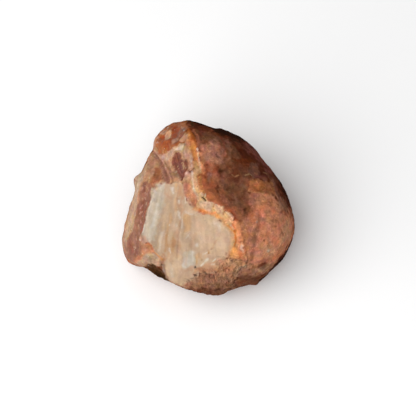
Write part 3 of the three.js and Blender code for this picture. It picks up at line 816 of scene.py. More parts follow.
    brush.stroke("tan", 0.4, 0.5, 0.8, [(-8.6, -7), (-8.4, -13)])
    brush.stroke("frost", 0.4, 0.1, 0.15, [(-5.1, -7), (-6, -8.5)])
    brush.stroke("frost", 0.3, 0.08, 0.15, [(-6, -7), (-5, -8.2)])
    # The pinkish right side.
    brush.stroke("frost", 0.4, 0.5, 0.8, [(1.6, -4.4), (3, -4.8), (3, -6.4)])
    brush.stroke("orchid", 0.35, 0.7, 1, [(2.6, -6.6), (4.8, -7.8), (5.2, -9.4)])
    brush.stroke("orchid", 0.3, 0.8, 1, [(-3.4, -3.2), (-1.8, -5.6)])
    brush.stroke("orchid", 0.3, 0.6, 1, [(0.2, -8.6), (2, -9.4)])
    brush.stroke("slate", 0.45, 0.1, 0.15, [(-1.2, -2.6), (-0.9, -3.4), (-0.4, -4)])
    brush.stroke("slate", 0.4, 0.14, 0.2, [(-2.2, -7.9), (-1.6, -8.8)])
    brush.stroke("tan", 0.45, 0.25, 0.35, [(2.4, -8.9), (1.5, -10.2), (1.1, -11.2)])
    brush.stroke("tan", 0.3, 0.5, 0.7, [(-3.6, -7.6), (-4.6, -10.4)])
    brush.spot("frost", 0.55, 0.4, (-3, -10.2))
    brush.patch("biscuit", 0.5, 1, [
        (-0.6, -11.2), (2.4, -11.2), (5.6, -11.2), (5.2, -13.2), (2, -13.6), (-0.4, -13)])
    # The chipped lower part.
    brush.patch("pearl", 0.95, 0.6, [
        (-6.7, -12), (-5, -11.6), (-3.8, -12.4), (-3.3, -14.4), (-3.6, -16), (-5, -16), (-6.6, -16.8),
        (-7.2, -15.8), (-6.8, -14.2)])
    brush.stroke("frost", 0.5, 0.2, 0.4, [(-4.3, -12.4), (-4.5, -14.8)])
    brush.stroke("cream", 0.6, 0.25, 0.4, [(-5.6, -12.4), (-6, -15.4)])
    brush.stroke("frost", 0.35, 0.7, 0.9, [(-4.7, -12.4), (-4.9, -15)])
    brush.stroke("frost", 0.6, 0.3, 0.4, [(-6.8, -15.4), (-6.3, -16.6)])
    brush.stroke("tan", 0.4, 0.4, 0.5, [(-6, -17.2), (-4.4, -16.6)])
    brush.stroke("honey", 0.65, 0.3, 0.4, [(-3, -13.2), (-3.1, -15.8)])
    brush.stroke("honey", 0.5, 0.5, 0.6, [(-2.3, -13), (-2.1, -14.2)])
    brush.stroke("ochre", 0.6, 0.08, 0.12, [(-3.4, -13.4), (-3.3, -15.6)])
    brush.spot("bronze", 0.7, 0.35, (-1.8, -14.4))
    brush.spot("bronze", 0.9, 0.28, (0, -12.4))
    brush.spot("ochre", 0.5, 0.5, (0, -12.2))
    brush.spot("chestnut", 0.6, 0.22, (0.8, -11.3))
    brush.patch("tan", 0.8, 0.8, [
        (-2.6, -16.4), (-0.4, -15), (2.8, -14.3), (3.1, -16.2), (2.4, -17.6), (0.6, -18.3), (-2.2, -17.7)])
    brush.stroke("biscuit", 0.85, 0.5, 0.6, [(-0.2, -13.4), (1.6, -14.2)])
    brush.stroke("frost", 0.7, 0.25, 0.3, [(-0.2, -14.2), (-1, -14.8), (-1.9, -15.9)])
    brush.stroke("frost", 0.5, 0.2, 0.25, [(-1.5, -12.9), (-0.5, -12.3)])
    brush.stroke("frost", 0.7, 0.22, 0.2, [(1.2, -14.7), (2, -14.2)])
    brush.stroke("frost", 0.5, 0.25, 0.25, [(0.9, -15.5), (1.6, -15.5)])
    brush.stroke("tawny", 0.6, 0.5, 0.5, [(-2.6, -16.8), (-1.2, -17.2), (1, -17.2), (2.4, -16.9)])
    brush.stroke("peach", 0.9, 0.12, 0.15, [(0.6, -18.1), (1.8, -18.1), (2.8, -17.7)])
    brush.spot("tan", 0.9, 0.5, (-3.3, -17.3))
    brush.spot("clay", 0.85, 0.7, (-3.8, -18.2))
    brush.spot("soot_and_shade", 0.95, 0.3, (-3.5, -16.4))
    brush.stroke("soot_and_shade", 0.9, 0.22, 0.25, [(-3.8, -18.4), (-3.2, -18.6)])
    brush.stroke("biscuit", 0.8, 0.6, 0.8, [(-9.8, -13), (-10.2, -15.4)])
    brush.stroke("tan", 0.85, 0.4, 0.5, [(-12.4, -12.8), (-12, -14.6)])
    brush.stroke("biscuit", 0.6, 0.6, 0.9, [(-6.8, -17.4), (-5.4, -18.8)])
    # Painted shade along the undercut's upper edge, in clay and bark.
    brush.stroke("clay", 0.8, 0.35, 0.5, [(-12.5, -14.4), (-12.2, -16.4), (-11.9, -18.2), (-11, -19.6)])
    brush.stroke("bark", 0.6, 0.3, 0.4, [(-12.1, -15.6), (-11.9, -17.2), (-11.3, -18.8)])
    brush.stroke("slate", 0.4, 0.2, 0.4, [(-12.4, -15.6), (-12, -17.2), (-11.6, -18.8)])
    brush.stroke("frost", 0.3, 0.4, 0.7, [(-10.4, -15.6), (-9.8, -18.6)])
    brush.spot("peach", 0.6, 0.5, (-2.9, -19.3))


def paint_ledge(brush):
    """The ridge beside the inside: an orange band above, and a cream ledge with orange seams below."""
    # The pinkish column between the hollow and the orange band.
    brush.patch("orchid", 0.85, 0.4, [
        (-6.2, 20.1), (-5.2, 20.4), (-4.6, 17.6), (-4, 14), (-4, 10.6), (-5, 9.8), (-5.8, 11), (-6, 13),
        (-7.2, 15.4), (-6.4, 17)])
    brush.stroke("rose", 0.6, 0.3, 0.4, [(-6, 15.6), (-5.6, 13.4), (-5.2, 11.8)])
    brush.stroke("rose", 0.5, 0.3, 0.4, [(-6.2, 18.2), (-5.8, 16.8)])
    brush.stroke("frost", 0.45, 0.12, 0.2, [(-4.9, 14.2), (-4.6, 12.6), (-4.4, 11.2)])
    brush.stroke("tan", 0.6, 0.5, 0.5, [(-5.2, 19.4), (-5, 17.4), (-4.6, 15.4)])
    # The tongue that runs down beside the milk.
    brush.patch("orchid", 0.75, 0.3, [
        (-6.9, 9.2), (-5.4, 10), (-4.5, 9), (-4.3, 6.2), (-4, 4.2), (-3, 3), (-2.8, 1.4), (-3.3, 0.2),
        (-4, 0.1), (-5.2, 1.2), (-6.2, 2.9), (-6.8, 5)])
    brush.patch("rose", 0.85, 0.5, [(-6.8, 6.8), (-5.2, 6.8), (-4.8, 4.4), (-5.6, 2.6), (-6.6, 3.8)])
    brush.patch("salmon", 0.7, 0.5, [(-5.4, 7.6), (-4.5, 6.4), (-4, 4.4), (-3, 3), (-4.4, 1.2), (-5.6, 3.2)])
    brush.patch("brick", 0.75, 0.3, [(-4.6, 1.8), (-2.9, 2.2), (-2.9, 1.2), (-3.3, 0.1), (-4.2, 0.4)])
    brush.stroke("frost", 0.35, 0.2, 0.3, [(-6.4, 9.2), (-5.6, 9.4)])
    # The ledge.
    brush.patch("sand", 0.9, 0.25, [
        (-4.4, 8.4), (-3.6, 9.2), (-2.9, 7.8), (-2.4, 5.8), (-1.2, 4.2), (-0.3, 2.6), (0.2, 1.9), (1.9, 1.3),
        (2.4, 0.9), (4.1, 0.3), (4.7, -0.8), (6, -1.8), (6.9, -3.1), (7.4, -4.6), (7.2, -6.2), (6, -5.2),
        (4.6, -4.2), (3.4, -3.4), (2, -2.4), (0.2, -1.8), (-1.4, -1.3), (-3, -0.6), (-3.2, 0.6), (-2.8, 2.6),
        (-3.6, 5.2)])
    brush.patch("cream", 0.65, 0.2, [(-2.7, 1.4), (-1.9, 2), (1.6, 1.2), (1.1, -0.1), (0.6, -1), (-1, -0.8)])
    brush.patch("cream", 0.55, 0.2, [
        (2.1, 0.9), (4.1, 0.2), (4.3, -0.6), (3.9, -1.9), (2.8, -1.8), (1.6, -0.8)])
    brush.patch("honey", 0.3, 0.4, [(4.6, -1), (6.6, -2.8), (6.8, -4), (5.8, -4.6), (4.4, -3)])
    brush.stroke("cream", 0.9, 0.14, 0.15, [(0.2, 1.7), (1.8, 1.2)])
    brush.stroke("cream", 0.9, 0.12, 0.15, [(2.3, 0.9), (4, 0.2)])
    brush.stroke("cream", 0.9, 0.16, 0.15, [(4.9, -1), (6.5, -2.6)])
    brush.stroke("terracotta", 0.65, 0.1, 0.12, [(2, 1.1), (1.5, 0.2), (1.3, -0.8), (0.9, -1.4)])
    brush.stroke("terracotta", 0.75, 0.1, 0.12, [(4.1, -0.2), (4.7, -0.9), (4.1, -1.2), (4.3, -2.2)])
    brush.spot("rose", 0.5, 0.25, (2.5, 0.4), (3.5, -0.9))
    brush.spot("frost", 0.7, 0.14, (6.1, -4.7))
    # Orange stains along the ledge's lower edge.
    brush.stroke("amber", 0.7, 0.4, 0.6, [(-3.8, -0.4), (-2.8, -0.5)])
    brush.stroke("amber", 0.85, 0.4, 0.35, [(-2.3, -0.6), (-1.6, -0.8), (-0.3, -1.3)])
    brush.stroke("flame", 0.55, 0.25, 0.25, [(-2.3, -0.4), (-2, -0.7)])
    brush.spot("flame", 0.35, 0.25, (-1.1, -1))
    brush.stroke("apricot", 0.8, 0.36, 0.3, [(0.3, -1.5), (1.2, -1.6), (2, -1.4)])
    brush.stroke("amber", 0.7, 0.36, 0.4, [(2.5, -2.2), (3.2, -2.8), (3.9, -3.2)])
    brush.stroke("honey", 0.7, 0.4, 0.5, [(3.9, -3.4), (4.8, -4.4)])
    brush.stroke("peach", 0.7, 0.4, 0.5, [(4.8, -4.6), (5.8, -5.6), (6.6, -7.2), (6.8, -9.4)])
    brush.stroke("amber", 0.9, 0.22, 0.25, [(5.2, -4.9), (6, -5.6), (6.8, -6.4), (7.4, -7.2)])
    brush.stroke("apricot", 0.9, 0.6, 0.6, [(7, -4), (7.8, -5.4), (8.3, -7.4), (8.5, -9.8)])
    brush.stroke("flame", 0.45, 0.1, 0.12, [(6.6, -3.5), (6.5, -5)])
    brush.stroke("flame", 0.6, 0.2, 0.25, [(6.9, -4.4), (7.4, -6)])
    brush.stroke("apricot", 0.7, 0.4, 0.4, [(8.2, -4.2), (8.6, -6.4), (9, -8.6)])
    brush.stroke("amber", 1, 0.3, 0.3, [(7.3, -6.6), (7.5, -8.2), (7.3, -9.8), (6.9, -11.2)])
    brush.stroke("flame", 0.65, 0.18, 0.25, [(7.1, -6.4), (7.5, -7.4), (7.6, -8.8), (7.3, -10.4)])
    brush.stroke("sand", 0.7, 0.45, 0.6, [(6.4, -7.6), (6.5, -9.8), (6.2, -11.8)])
    # The coral patch under the seam, with a painted highlight along its edge.
    brush.patch("coral", 0.85, 0.6, [
        (8, -9.8), (8.8, -9.4), (9.2, -11.4), (10, -13.4), (9.8, -14.2), (7, -14), (5.6, -13), (6.4, -11.4)])
    brush.patch("amber", 0.5, 0.9, [(6.4, -10.8), (7.6, -10.6), (8, -11.8), (7.4, -13.4), (6, -13)])
    brush.stroke("apricot", 0.4, 0.5, 0.9, [(6, -9.6), (5.8, -11.4), (5.6, -13)])
    brush.stroke("flame", 0.3, 0.4, 0.5, [(8.5, -12), (8.8, -13.2)])
    # Painted highlight: the glint along the raised seam, in cream and peach.
    brush.stroke("cream", 0.9, 0.16, 0.15, [(9, -10), (9.1, -11), (9.4, -11.8)])
    brush.stroke("peach", 0.8, 0.1, 0.12, [(9, -9.2), (9, -10)])
    brush.stroke("peach", 0.8, 0.12, 0.15, [(9.4, -11.8), (9.8, -12.6), (10.2, -13.6)])
    brush.spot("mauve", 0.6, 0.3, (8.7, -8.2))
    # The orange band, and the painted highlight along its bright right edge.
    brush.patch("orange", 0.75, 0.4, [
        (-5.6, 21.6), (-4.5, 20.8), (-4.2, 19.8), (-3.2, 18.4), (-2.9, 17), (-3.2, 15.6), (-3, 13.6),
        (-2.6, 11.4), (-3.8, 11), (-4.2, 13.4), (-4.6, 15.8), (-5, 18.4), (-5.7, 20)])
    brush.stroke("amber", 0.8, 0.4, 0.4, [(-4.2, 17.8), (-3.6, 16.6), (-3.7, 14.6), (-3.4, 12.6)])
    brush.stroke("apricot", 0.9, 0.35, 0.4, [(-3.1, 14.6), (-2.9, 13), (-2.6, 11.4)])
    brush.stroke("honey", 0.9, 0.6, 0.5, [(-3.5, 12.4), (-3.3, 11), (-2.6, 10)])
    brush.stroke("honey", 0.8, 0.6, 0.5, [(-3.4, 10.2), (-3.2, 9.4)])
    brush.stroke("sand", 0.8, 0.35, 0.4, [(-2.1, 11.4), (-2, 9.6)])
    brush.stroke("brick", 0.85, 0.35, 0.35, [(-3.9, 20.8), (-3, 19.6), (-2.6, 18), (-2.8, 16.8)])
    # Painted highlight: the bright line along the crest, in frost and cream.
    brush.stroke("frost", 0.9, 0.2, 0.15, [(-2.9, 15.9), (-2.7, 15)])
    brush.stroke("cream", 0.95, 0.15, 0.15, [(-2.7, 15), (-2.5, 13.4), (-2.4, 12.4)])
    brush.stroke("cream", 0.95, 0.22, 0.15, [(-2.4, 12.4), (-2, 11.2), (-1.9, 10.5)])
    brush.stroke("apricot", 0.7, 0.4, 0.5, [(-2, 14.6), (-1.8, 12.6), (-1.4, 10.8), (-1.4, 9.2)])
    # The pale line down the upper ledge, with its brown specks.
    brush.stroke("frost", 0.6, 0.22, 0.25, [(-4.2, 9.6), (-4.1, 7.4), (-3.8, 6)])
    brush.stroke("frost", 0.8, 0.2, 0.2, [(-3.8, 5.4), (-3.6, 4.6)])
    brush.stroke("cream", 0.6, 0.3, 0.3, [(-3.6, 4.6), (-2.8, 3), (-2.6, 2)])
    brush.stroke("frost", 0.6, 0.16, 0.15, [(-1.7, 4), (-1.5, 3.5)])
    brush.stroke("frost", 0.6, 0.14, 0.15, [(-0.7, 3.6), (-0.6, 3)])
    brush.stroke("umber", 0.6, 0.1, 0.12, [(-1.2, 4.2), (-1.1, 3.4), (-0.9, 2.9)])
    brush.spot(
        "umber", 0.6, 0.2,
        (-2.5, 8.4), (-1, 8), (-1.8, 6.4), (-2.7, 5.7), (-2.2, 3.9), (-1.4, 5), (-2, 7.4),
    )
    brush.stroke("peach", 0.5, 0.4, 0.5, [(-4, 8.4), (-3.2, 5.6)])
    brush.patch("coral", 0.6, 0.5, [(-2.8, 7.4), (-2, 7), (-1, 4.6), (-1.4, 3.4), (-2.2, 4.4), (-2.6, 5.8)])
    brush.stroke("ochre", 0.6, 0.4, 0.4, [(-2.2, 8), (-1.9, 6), (-1.2, 4.6)])
    brush.stroke("soot_and_shade", 0.95, 0.18, 0.12, [(-1.5, 2.7), (-1, 2.3), (-0.5, 1.8)])


def paint_knob(brush):
    """The glassy knob at the top left, the dark sparkling hollow under it and the folded edge below."""
    brush.patch("orange", 0.9, 0.5, [
        (-14.9, 17.6), (-14.4, 19.8), (-12.9, 21.3), (-10.9, 23), (-8.4, 23.7), (-5.9, 24.2), (-5.7, 21),
        (-6.5, 16.9), (-9.4, 16.4), (-11.6, 14.6), (-13.3, 14.8), (-14.4, 16.4)])
    brush.stroke("orchid", 0.6, 0.3, 0.4, [(-14.8, 17.2), (-14.6, 18.6), (-14, 19.6)])
    brush.stroke("rust", 0.5, 0.25, 0.4, [(-14.2, 20.2), (-12.9, 21.4), (-10.8, 23.1), (-8.6, 23.7)])
    brush.patch("flame", 0.85, 0.7, [
        (-10.1, 22.7), (-8.8, 22.7), (-8, 21.6), (-7.8, 20.6), (-8.6, 19.6), (-9.6, 18.6), (-10.2, 19.4),
        (-10, 21)])
    brush.patch("flame", 0.9, 0.3, [
        (-13.5, 19.6), (-12.8, 20.2), (-12.2, 19.8), (-12.2, 18.6), (-12.9, 18.3)])
    brush.patch("flame", 0.75, 0.8, [
        (-13.6, 18.2), (-12.4, 18.2), (-11.2, 18.6), (-10.2, 19), (-10, 17.8), (-11, 16.8), (-12.4, 16.8),
        (-13.2, 17)])
    brush.stroke("rust", 0.4, 0.9, 1, [(-13, 17.9), (-11.4, 17.3), (-10.4, 18.4)])
    brush.stroke("rust", 0.3, 0.9, 1, [(-9.2, 22.4), (-8.6, 20.4)])
    brush.stroke("flame", 0.5, 0.4, 0.6, [(-11.6, 16.6), (-11, 15.6)])
    brush.patch("peach", 0.95, 0.2, [
        (-12.2, 20.2), (-11.4, 21), (-10.2, 21.4), (-10.2, 19.8), (-11.1, 18.6), (-11.9, 18.6), (-12, 19.4)])
    brush.stroke("cream", 0.7, 0.12, 0.15, [(-10.5, 21.2), (-10.3, 20), (-11.2, 18.8)])
    brush.patch("orchid", 0.7, 0.3, [(-13.4, 20.4), (-12.4, 20.2), (-11.6, 21), (-11, 21.8), (-12.2, 21.5)])
    brush.stroke("plum", 0.8, 0.12, 0.15, [(-12.6, 20.8), (-11.6, 21.4), (-11, 22)])
    brush.spot("frost", 0.6, 0.18, (-11.2, 22.1))
    brush.spot("frost", 0.5, 0.16, (-14, 19.3))
    brush.spot("frost", 0.5, 0.18, (-14, 17.8))
    brush.patch("mauve", 0.85, 0.4, [
        (-9.2, 19.2), (-7.8, 21.4), (-6.4, 22.4), (-6, 20.8), (-7.2, 19.2), (-8.4, 17.6), (-9.2, 16.8),
        (-9.9, 17.4)])
    brush.patch("orchid", 0.6, 0.4, [(-9.9, 18.2), (-8.8, 19.4), (-8.2, 19.2), (-8.8, 17.8), (-9.6, 17.2)])
    brush.stroke("plum", 0.9, 0.14, 0.15, [
        (-6.1, 20.8), (-6.6, 20.1), (-7.6, 18.9), (-8.6, 17.5), (-9.4, 16.9)])
    brush.stroke("plum", 0.6, 0.35, 0.5, [(-7.3, 21.6), (-7.1, 20.4), (-7.6, 19.4)])
    brush.stroke("peach", 0.8, 0.14, 0.15, [(-7.2, 22.2), (-7, 21.7)])
    brush.stroke("frost", 0.75, 0.14, 0.12, [(-6.5, 21.2), (-6.4, 20.8)])
    brush.patch("peach", 0.9, 0.15, [
        (-7.9, 18.4), (-6.8, 19.5), (-6.1, 20.1), (-5.9, 19.4), (-6.2, 18.2), (-7.4, 17.8)])
    brush.stroke("cream", 0.6, 0.1, 0.15, [(-7.8, 18.5), (-6.8, 19.5), (-6.2, 20.1)])
    brush.patch("sand", 0.95, 0.12, [
        (-9.6, 16.3), (-8.5, 16.6), (-7.8, 17.5), (-6.1, 17.6), (-6, 16.7), (-6.6, 15.2), (-7.8, 14.9),
        (-9, 14.9)])
    brush.patch("frost", 0.5, 0.3, [
        (-9.2, 16), (-8, 16.4), (-7.4, 17.2), (-6.4, 17.2), (-6.8, 15.6), (-8.6, 15.2)])
    brush.stroke("honey", 0.6, 0.1, 0.15, [(-12.5, 15.3), (-12.3, 14.6)])
    brush.stroke("honey", 0.5, 0.1, 0.15, [(-11.8, 15.6), (-11.6, 15)])
    brush.patch("amber", 0.45, 0.6, [
        (-5.9, 19.8), (-4.9, 19.8), (-4.5, 17.4), (-4.6, 15.8), (-5.5, 15.8), (-5.9, 17.6)])
    # The pale wedge between the knob and the hollow.
    brush.patch("orchid", 0.9, 0.4, [
        (-13.4, 14.4), (-11.8, 14.8), (-10.4, 15.8), (-9.6, 16.4), (-9.2, 15.2), (-9.8, 13.4), (-11.2, 12.8),
        (-12.4, 12.6)])
    brush.stroke("slate", 0.35, 0.4, 0.6, [(-10.8, 14.6), (-9.6, 15.6)])
    brush.stroke("frost", 0.4, 0.4, 0.5, [(-12.2, 13.8), (-11.2, 13.2)])
    # The hollow.
    brush.patch("plum", 0.95, 0.25, [
        (-9.2, 14.9), (-7.6, 15), (-7.3, 13.8), (-6.8, 13), (-5.8, 12.9), (-5.6, 11.8), (-5.6, 10.4),
        (-6.4, 9.7), (-6.5, 8.6), (-6.9, 7.2), (-7.6, 7.4), (-8.6, 8.9), (-9.4, 9.6), (-9.6, 10.6),
        (-10, 12.2), (-9.8, 13.8)])
    brush.patch("wine", 0.85, 0.4, [
        (-8.8, 12.6), (-7.2, 12.8), (-6.3, 11.6), (-6.4, 10.2), (-7.4, 8.2), (-8.8, 9.6)])
    brush.stroke("umber", 0.5, 0.3, 0.4, [(-9.2, 12), (-8.9, 11), (-8, 10.6)])
    brush.stroke("rose", 0.7, 0.25, 0.3, [(-5.9, 13), (-5.6, 11.6)])
    brush.stroke("umber", 0.7, 0.12, 0.15, [(-7.2, 13), (-6.4, 13.2), (-6.1, 12.9)])
    brush.stroke("sand", 0.7, 0.1, 0.12, [(-7.2, 12.3), (-6.6, 12.6), (-6.3, 12.6)])
    brush.stroke("sand", 0.8, 0.12, 0.12, [(-6.8, 12.2), (-6.7, 10.7)])
    brush.stroke("peach", 0.7, 0.1, 0.12, [(-6.3, 11.6), (-6.2, 10.8)])
    brush.spot("sand", 0.7, 0.16, (-8.7, 11.2))
    brush.spot("peach", 0.5, 0.14, (-8.3, 10.6))
    brush.stroke("rose", 0.8, 0.4, 0.4, [(-10.6, 9.4), (-9.8, 9.8), (-9.2, 9.6)])
    brush.spot("frost", 0.6, 0.12, (-9.2, 9.6))
    # Peach chips beside and below the hollow.
    brush.patch("peach", 0.95, 0.2, [
        (-11.5, 12.7), (-10.5, 13.1), (-10.2, 12.4), (-10, 11.3), (-10.4, 10.6), (-10.9, 10), (-11.3, 11)])
    brush.stroke("cream", 0.6, 0.12, 0.15, [(-10.4, 12.8), (-10.1, 11.3), (-10.5, 10.4)])
    brush.patch("peach", 0.8, 0.25, [
        (-10.4, 9.2), (-9.4, 9.4), (-8.6, 8.6), (-7.4, 7.2), (-7.2, 6.7), (-8.2, 7.2), (-9.2, 7.3),
        (-10.2, 6.8)])
    brush.stroke("rose", 0.5, 0.2, 0.25, [(-10.4, 8.8), (-9.8, 7.2)])
    brush.stroke("cream", 0.6, 0.12, 0.15, [(-8.8, 8.9), (-7.6, 7.4)])
    # The folded edge: pale and brown lines that run down to the milk.
    brush.patch("rose", 0.85, 0.3, [
        (-15, 16.2), (-13.6, 15.2), (-12.4, 12.8), (-11.2, 10.4), (-10.6, 8.6), (-10.4, 6.6), (-11.4, 6.6),
        (-12.2, 8.8), (-13.4, 11.6), (-15, 14.4)])
    brush.stroke("mauve", 0.75, 0.22, 0.3, [
        (-14.6, 15), (-13.2, 13), (-12.3, 11), (-11.3, 8.4), (-10.9, 6.8)])
    brush.stroke("orchid", 0.9, 0.16, 0.15, [(-14.8, 16), (-13.4, 14.2), (-12.3, 12.6), (-11.4, 10.8)])
    brush.stroke("orchid", 0.7, 0.12, 0.15, [(-15.2, 15.2), (-14.2, 13.8), (-13.2, 12.2)])
    brush.stroke("orchid", 0.6, 0.14, 0.2, [(-10.6, 9.8), (-10.2, 8)])
    brush.stroke("rust", 0.5, 0.12, 0.15, [(-12.8, 13), (-12, 11), (-11.5, 9.4)])
    brush.spot("orchid", 0.7, 0.25, (-13.6, 12))


def paint_left_side(brush):
    """The broken left side: tan, orange and mauve bands that run down beside the milky face."""
    brush.patch("tan", 0.95, 0.4, [
        (-15.8, 15.4), (-15, 14.2), (-13.4, 11.4), (-12.4, 8.8), (-12.2, 7.4), (-13.6, 7), (-15.6, 6.2),
        (-17.4, 7), (-18.2, 8.6), (-18.2, 9.6), (-17.6, 11.2), (-16.8, 13.6)])
    brush.stroke("biscuit", 0.5, 0.3, 0.4, [(-16.2, 14), (-16.6, 12.4), (-17.2, 10.6), (-17.6, 9)])
    brush.patch("terracotta", 0.85, 0.5, [
        (-14.6, 11.4), (-13.4, 11), (-12.6, 9.2), (-12.4, 7.8), (-13.2, 7.4), (-14.2, 6.6), (-15.4, 5.8),
        (-15.8, 6.6), (-15.6, 7.8), (-14.8, 9.2)])
    brush.patch("brick", 0.4, 0.4, [(-14.2, 9.8), (-13, 9.8), (-12.6, 8.4), (-13.6, 7.8), (-14.4, 8.6)])
    brush.stroke("umber", 0.4, 0.2, 0.25, [(-12.4, 8.8), (-12.2, 7.9)])
    brush.stroke("cream", 0.6, 0.15, 0.2, [(-16.4, 11.6), (-16.1, 10.9)])
    brush.patch("biscuit", 0.95, 0.25, [
        (-20.4, 8.4), (-18.4, 9.8), (-18, 8.8), (-17.8, 7.4), (-18.5, 5.6), (-19, 3.4), (-19.4, 0.8),
        (-19.8, -1.6), (-20.2, -4), (-20.8, -6.2), (-21.4, -7.6), (-22.2, -9.4), (-23.2, -12.2), (-24, -10.1),
        (-23.6, -6), (-22.4, -1), (-20.8, 3.8)])
    brush.stroke("cream", 0.6, 0.3, 0.4, [(-19, 8), (-19.4, 6.2), (-19.9, 3.6)])
    brush.stroke("tan", 0.85, 0.35, 0.3, [(-18.2, 7), (-18.8, 5), (-19.1, 3), (-19.5, 1), (-19.8, -1.2)])
    brush.stroke("salmon", 0.4, 0.2, 0.3, [(-18.6, 5.4), (-19.2, 2.2)])
    brush.stroke("orchid", 0.5, 0.4, 0.5, [(-20.4, 0.6), (-20.8, -1.6), (-21.3, -3.6)])
    brush.stroke("cream", 0.5, 0.2, 0.3, [(-21.2, -2.4), (-22, -4.8), (-22.6, -6.8)])
    brush.stroke("rose", 0.55, 0.25, 0.3, [
        (-21.4, 1.2), (-22.2, -1.6), (-22.9, -4.6), (-23.5, -8), (-23.7, -10)])
    brush.stroke("honey", 0.6, 0.3, 0.4, [(-20.7, -2.2), (-20.8, -4.2)])
    brush.stroke("ochre", 0.7, 0.25, 0.3, [(-21.4, -6.4), (-21.8, -7.6), (-22.3, -8.8)])
    brush.stroke("plum", 0.8, 0.14, 0.15, [(-20.2, 7.7), (-20.1, 7.2)])
    # The mauve band.
    brush.patch("mauve", 0.95, 0.25, [
        (-17.8, 7), (-16.4, 7), (-15.3, 6), (-15.4, 5), (-15.5, 4), (-15.5, 2.8), (-15.8, 1.3), (-16.4, 0),
        (-16.8, -1.6), (-17.2, -3.6), (-17.8, -5.4), (-18.3, -7.2), (-18.5, -8.8), (-20, -8.7), (-20.6, -6),
        (-20, -3), (-19.5, -0.6), (-19.1, 1.2), (-18.7, 3), (-18.3, 5)])
    brush.stroke("plum", 0.6, 0.25, 0.3, [(-17.1, 6.8), (-17.4, 5.2), (-17.8, 4.2)])
    brush.stroke("plum", 0.6, 0.3, 0.4, [(-17.9, 2.2), (-18.2, 0.4), (-18, -1)])
    brush.stroke("plum", 0.6, 0.2, 0.3, [
        (-16.3, 1.6), (-16.9, -0.4), (-17.3, -2.6), (-17.9, -4.8), (-18.3, -6.8)])
    brush.stroke("plum", 0.45, 0.6, 0.7, [(-17.9, -0.6), (-18.4, -2.4), (-18.6, -4.4)])
    brush.stroke("plum", 0.5, 0.3, 0.4, [(-19, -0.2), (-19.2, -2.8)])
    brush.stroke("rose", 0.6, 0.15, 0.2, [(-16.9, 6.2), (-17, 4.6)])
    # Painted glints: short pale orchid strokes over the mauve band.
    brush.stroke(
        "orchid", 0.7, 0.12, 0.15,
        [(-17.8, 4.1), (-17.4, 3.5)], [(-16.9, 3.9), (-17, 3)], [(-17.6, 2.8), (-17.4, 2.2)],
        [(-18.3, 2.6), (-18.2, 2.2)], [(-18.4, -1.2), (-18.9, -1.8)], [(-18.4, -1.7), (-18, -1.2)],
        [(-18.7, -3.4), (-18.6, -4.2)], [(-16.6, 5.4), (-16.2, 4.6)], [(-17.9, 5.8), (-18.2, 4.8)],
        [(-16.9, 1.6), (-17.3, 0.8)], [(-18.2, 0.6), (-18.6, -0.2)], [(-19.2, -4.8), (-19.3, -5.8)],
        [(-18.8, -6.6), (-19, -7.4)], [(-17.7, -3), (-17.9, -3.8)],
    )
    brush.patch("mauve", 0.95, 0.4, [
        (-21, -6.4), (-19.3, -6), (-18.7, -8.4), (-18.3, -10), (-17.8, -11.4), (-18.2, -12.8), (-19.8, -13.8),
        (-20, -15.2), (-21.8, -14.8), (-22.6, -13), (-22.6, -10.4), (-22, -8.4)])
    brush.stroke("plum", 0.5, 0.35, 0.4, [(-21.4, -8.4), (-21.6, -10.2), (-21.2, -12.4)])
    brush.stroke("plum", 0.5, 0.3, 0.4, [(-19.5, -9.2), (-19.8, -11.4), (-20.2, -13)])
    brush.stroke("rose", 0.5, 0.3, 0.4, [(-20.6, -7.4), (-20.5, -10.4)])
    brush.stroke("rose", 0.6, 0.35, 0.5, [(-23.2, -9.8), (-22.8, -12.2)])
    brush.stroke("mauve", 0.6, 0.5, 0.7, [(-22.8, -11.4), (-22, -13.6)])
    brush.stroke("orchid", 0.7, 0.14, 0.15, [(-20.8, -11), (-20.3, -11.1)])
    brush.stroke("orchid", 0.5, 0.12, 0.15, [(-20, -8), (-19.9, -9)])
    # The pinkish corner of the milk, and the coral patch under it.
    brush.patch("orchid", 0.75, 0.4, [(-18.6, -8), (-17.2, -7.6), (-16.6, -9.2), (-17.4, -10), (-18.4, -9.8)])
    brush.spot("frost", 0.7, 0.25, (-18.6, -8.9))
    brush.patch("coral", 0.85, 0.35, [
        (-18.2, -10.8), (-17.4, -10), (-16.5, -9.5), (-15.5, -10.2), (-15.1, -11.2), (-14.4, -12.1),
        (-15.8, -12.4), (-17, -12.6), (-18.4, -13), (-20.2, -14), (-20.2, -15.6), (-19.6, -15.4),
        (-18, -14.4)])
    brush.stroke("terracotta", 0.65, 0.5, 0.8, [(-18.8, -13.4), (-20.4, -14.6)])
    brush.stroke("flame", 0.35, 0.25, 0.3, [(-16.2, -9.9), (-15.5, -10.6), (-15.2, -11.2)])
    brush.stroke("peach", 0.6, 0.3, 0.4, [(-17.4, -10.6), (-17.2, -12)])
    brush.patch("biscuit", 0.95, 0.4, [
        (-19.6, -15.4), (-18.2, -13.9), (-16.8, -12.7), (-14.8, -12.5), (-13.8, -13.4), (-12.8, -14.6),
        (-13, -16.2), (-14.6, -16), (-16, -15.2), (-17.2, -15.8), (-18.4, -16.8), (-20.2, -16.4)])
    brush.stroke("slate", 0.35, 0.6, 0.8, [(-16.8, -13.6), (-16, -14.4)])
    brush.stroke("clay", 0.7, 0.35, 0.5, [(-19.8, -15.8), (-18.2, -16.4)], [(-18.6, -15.2), (-17.2, -15.6)])
    brush.spot("clay", 0.6, 0.6, (-23.1, -10.2))
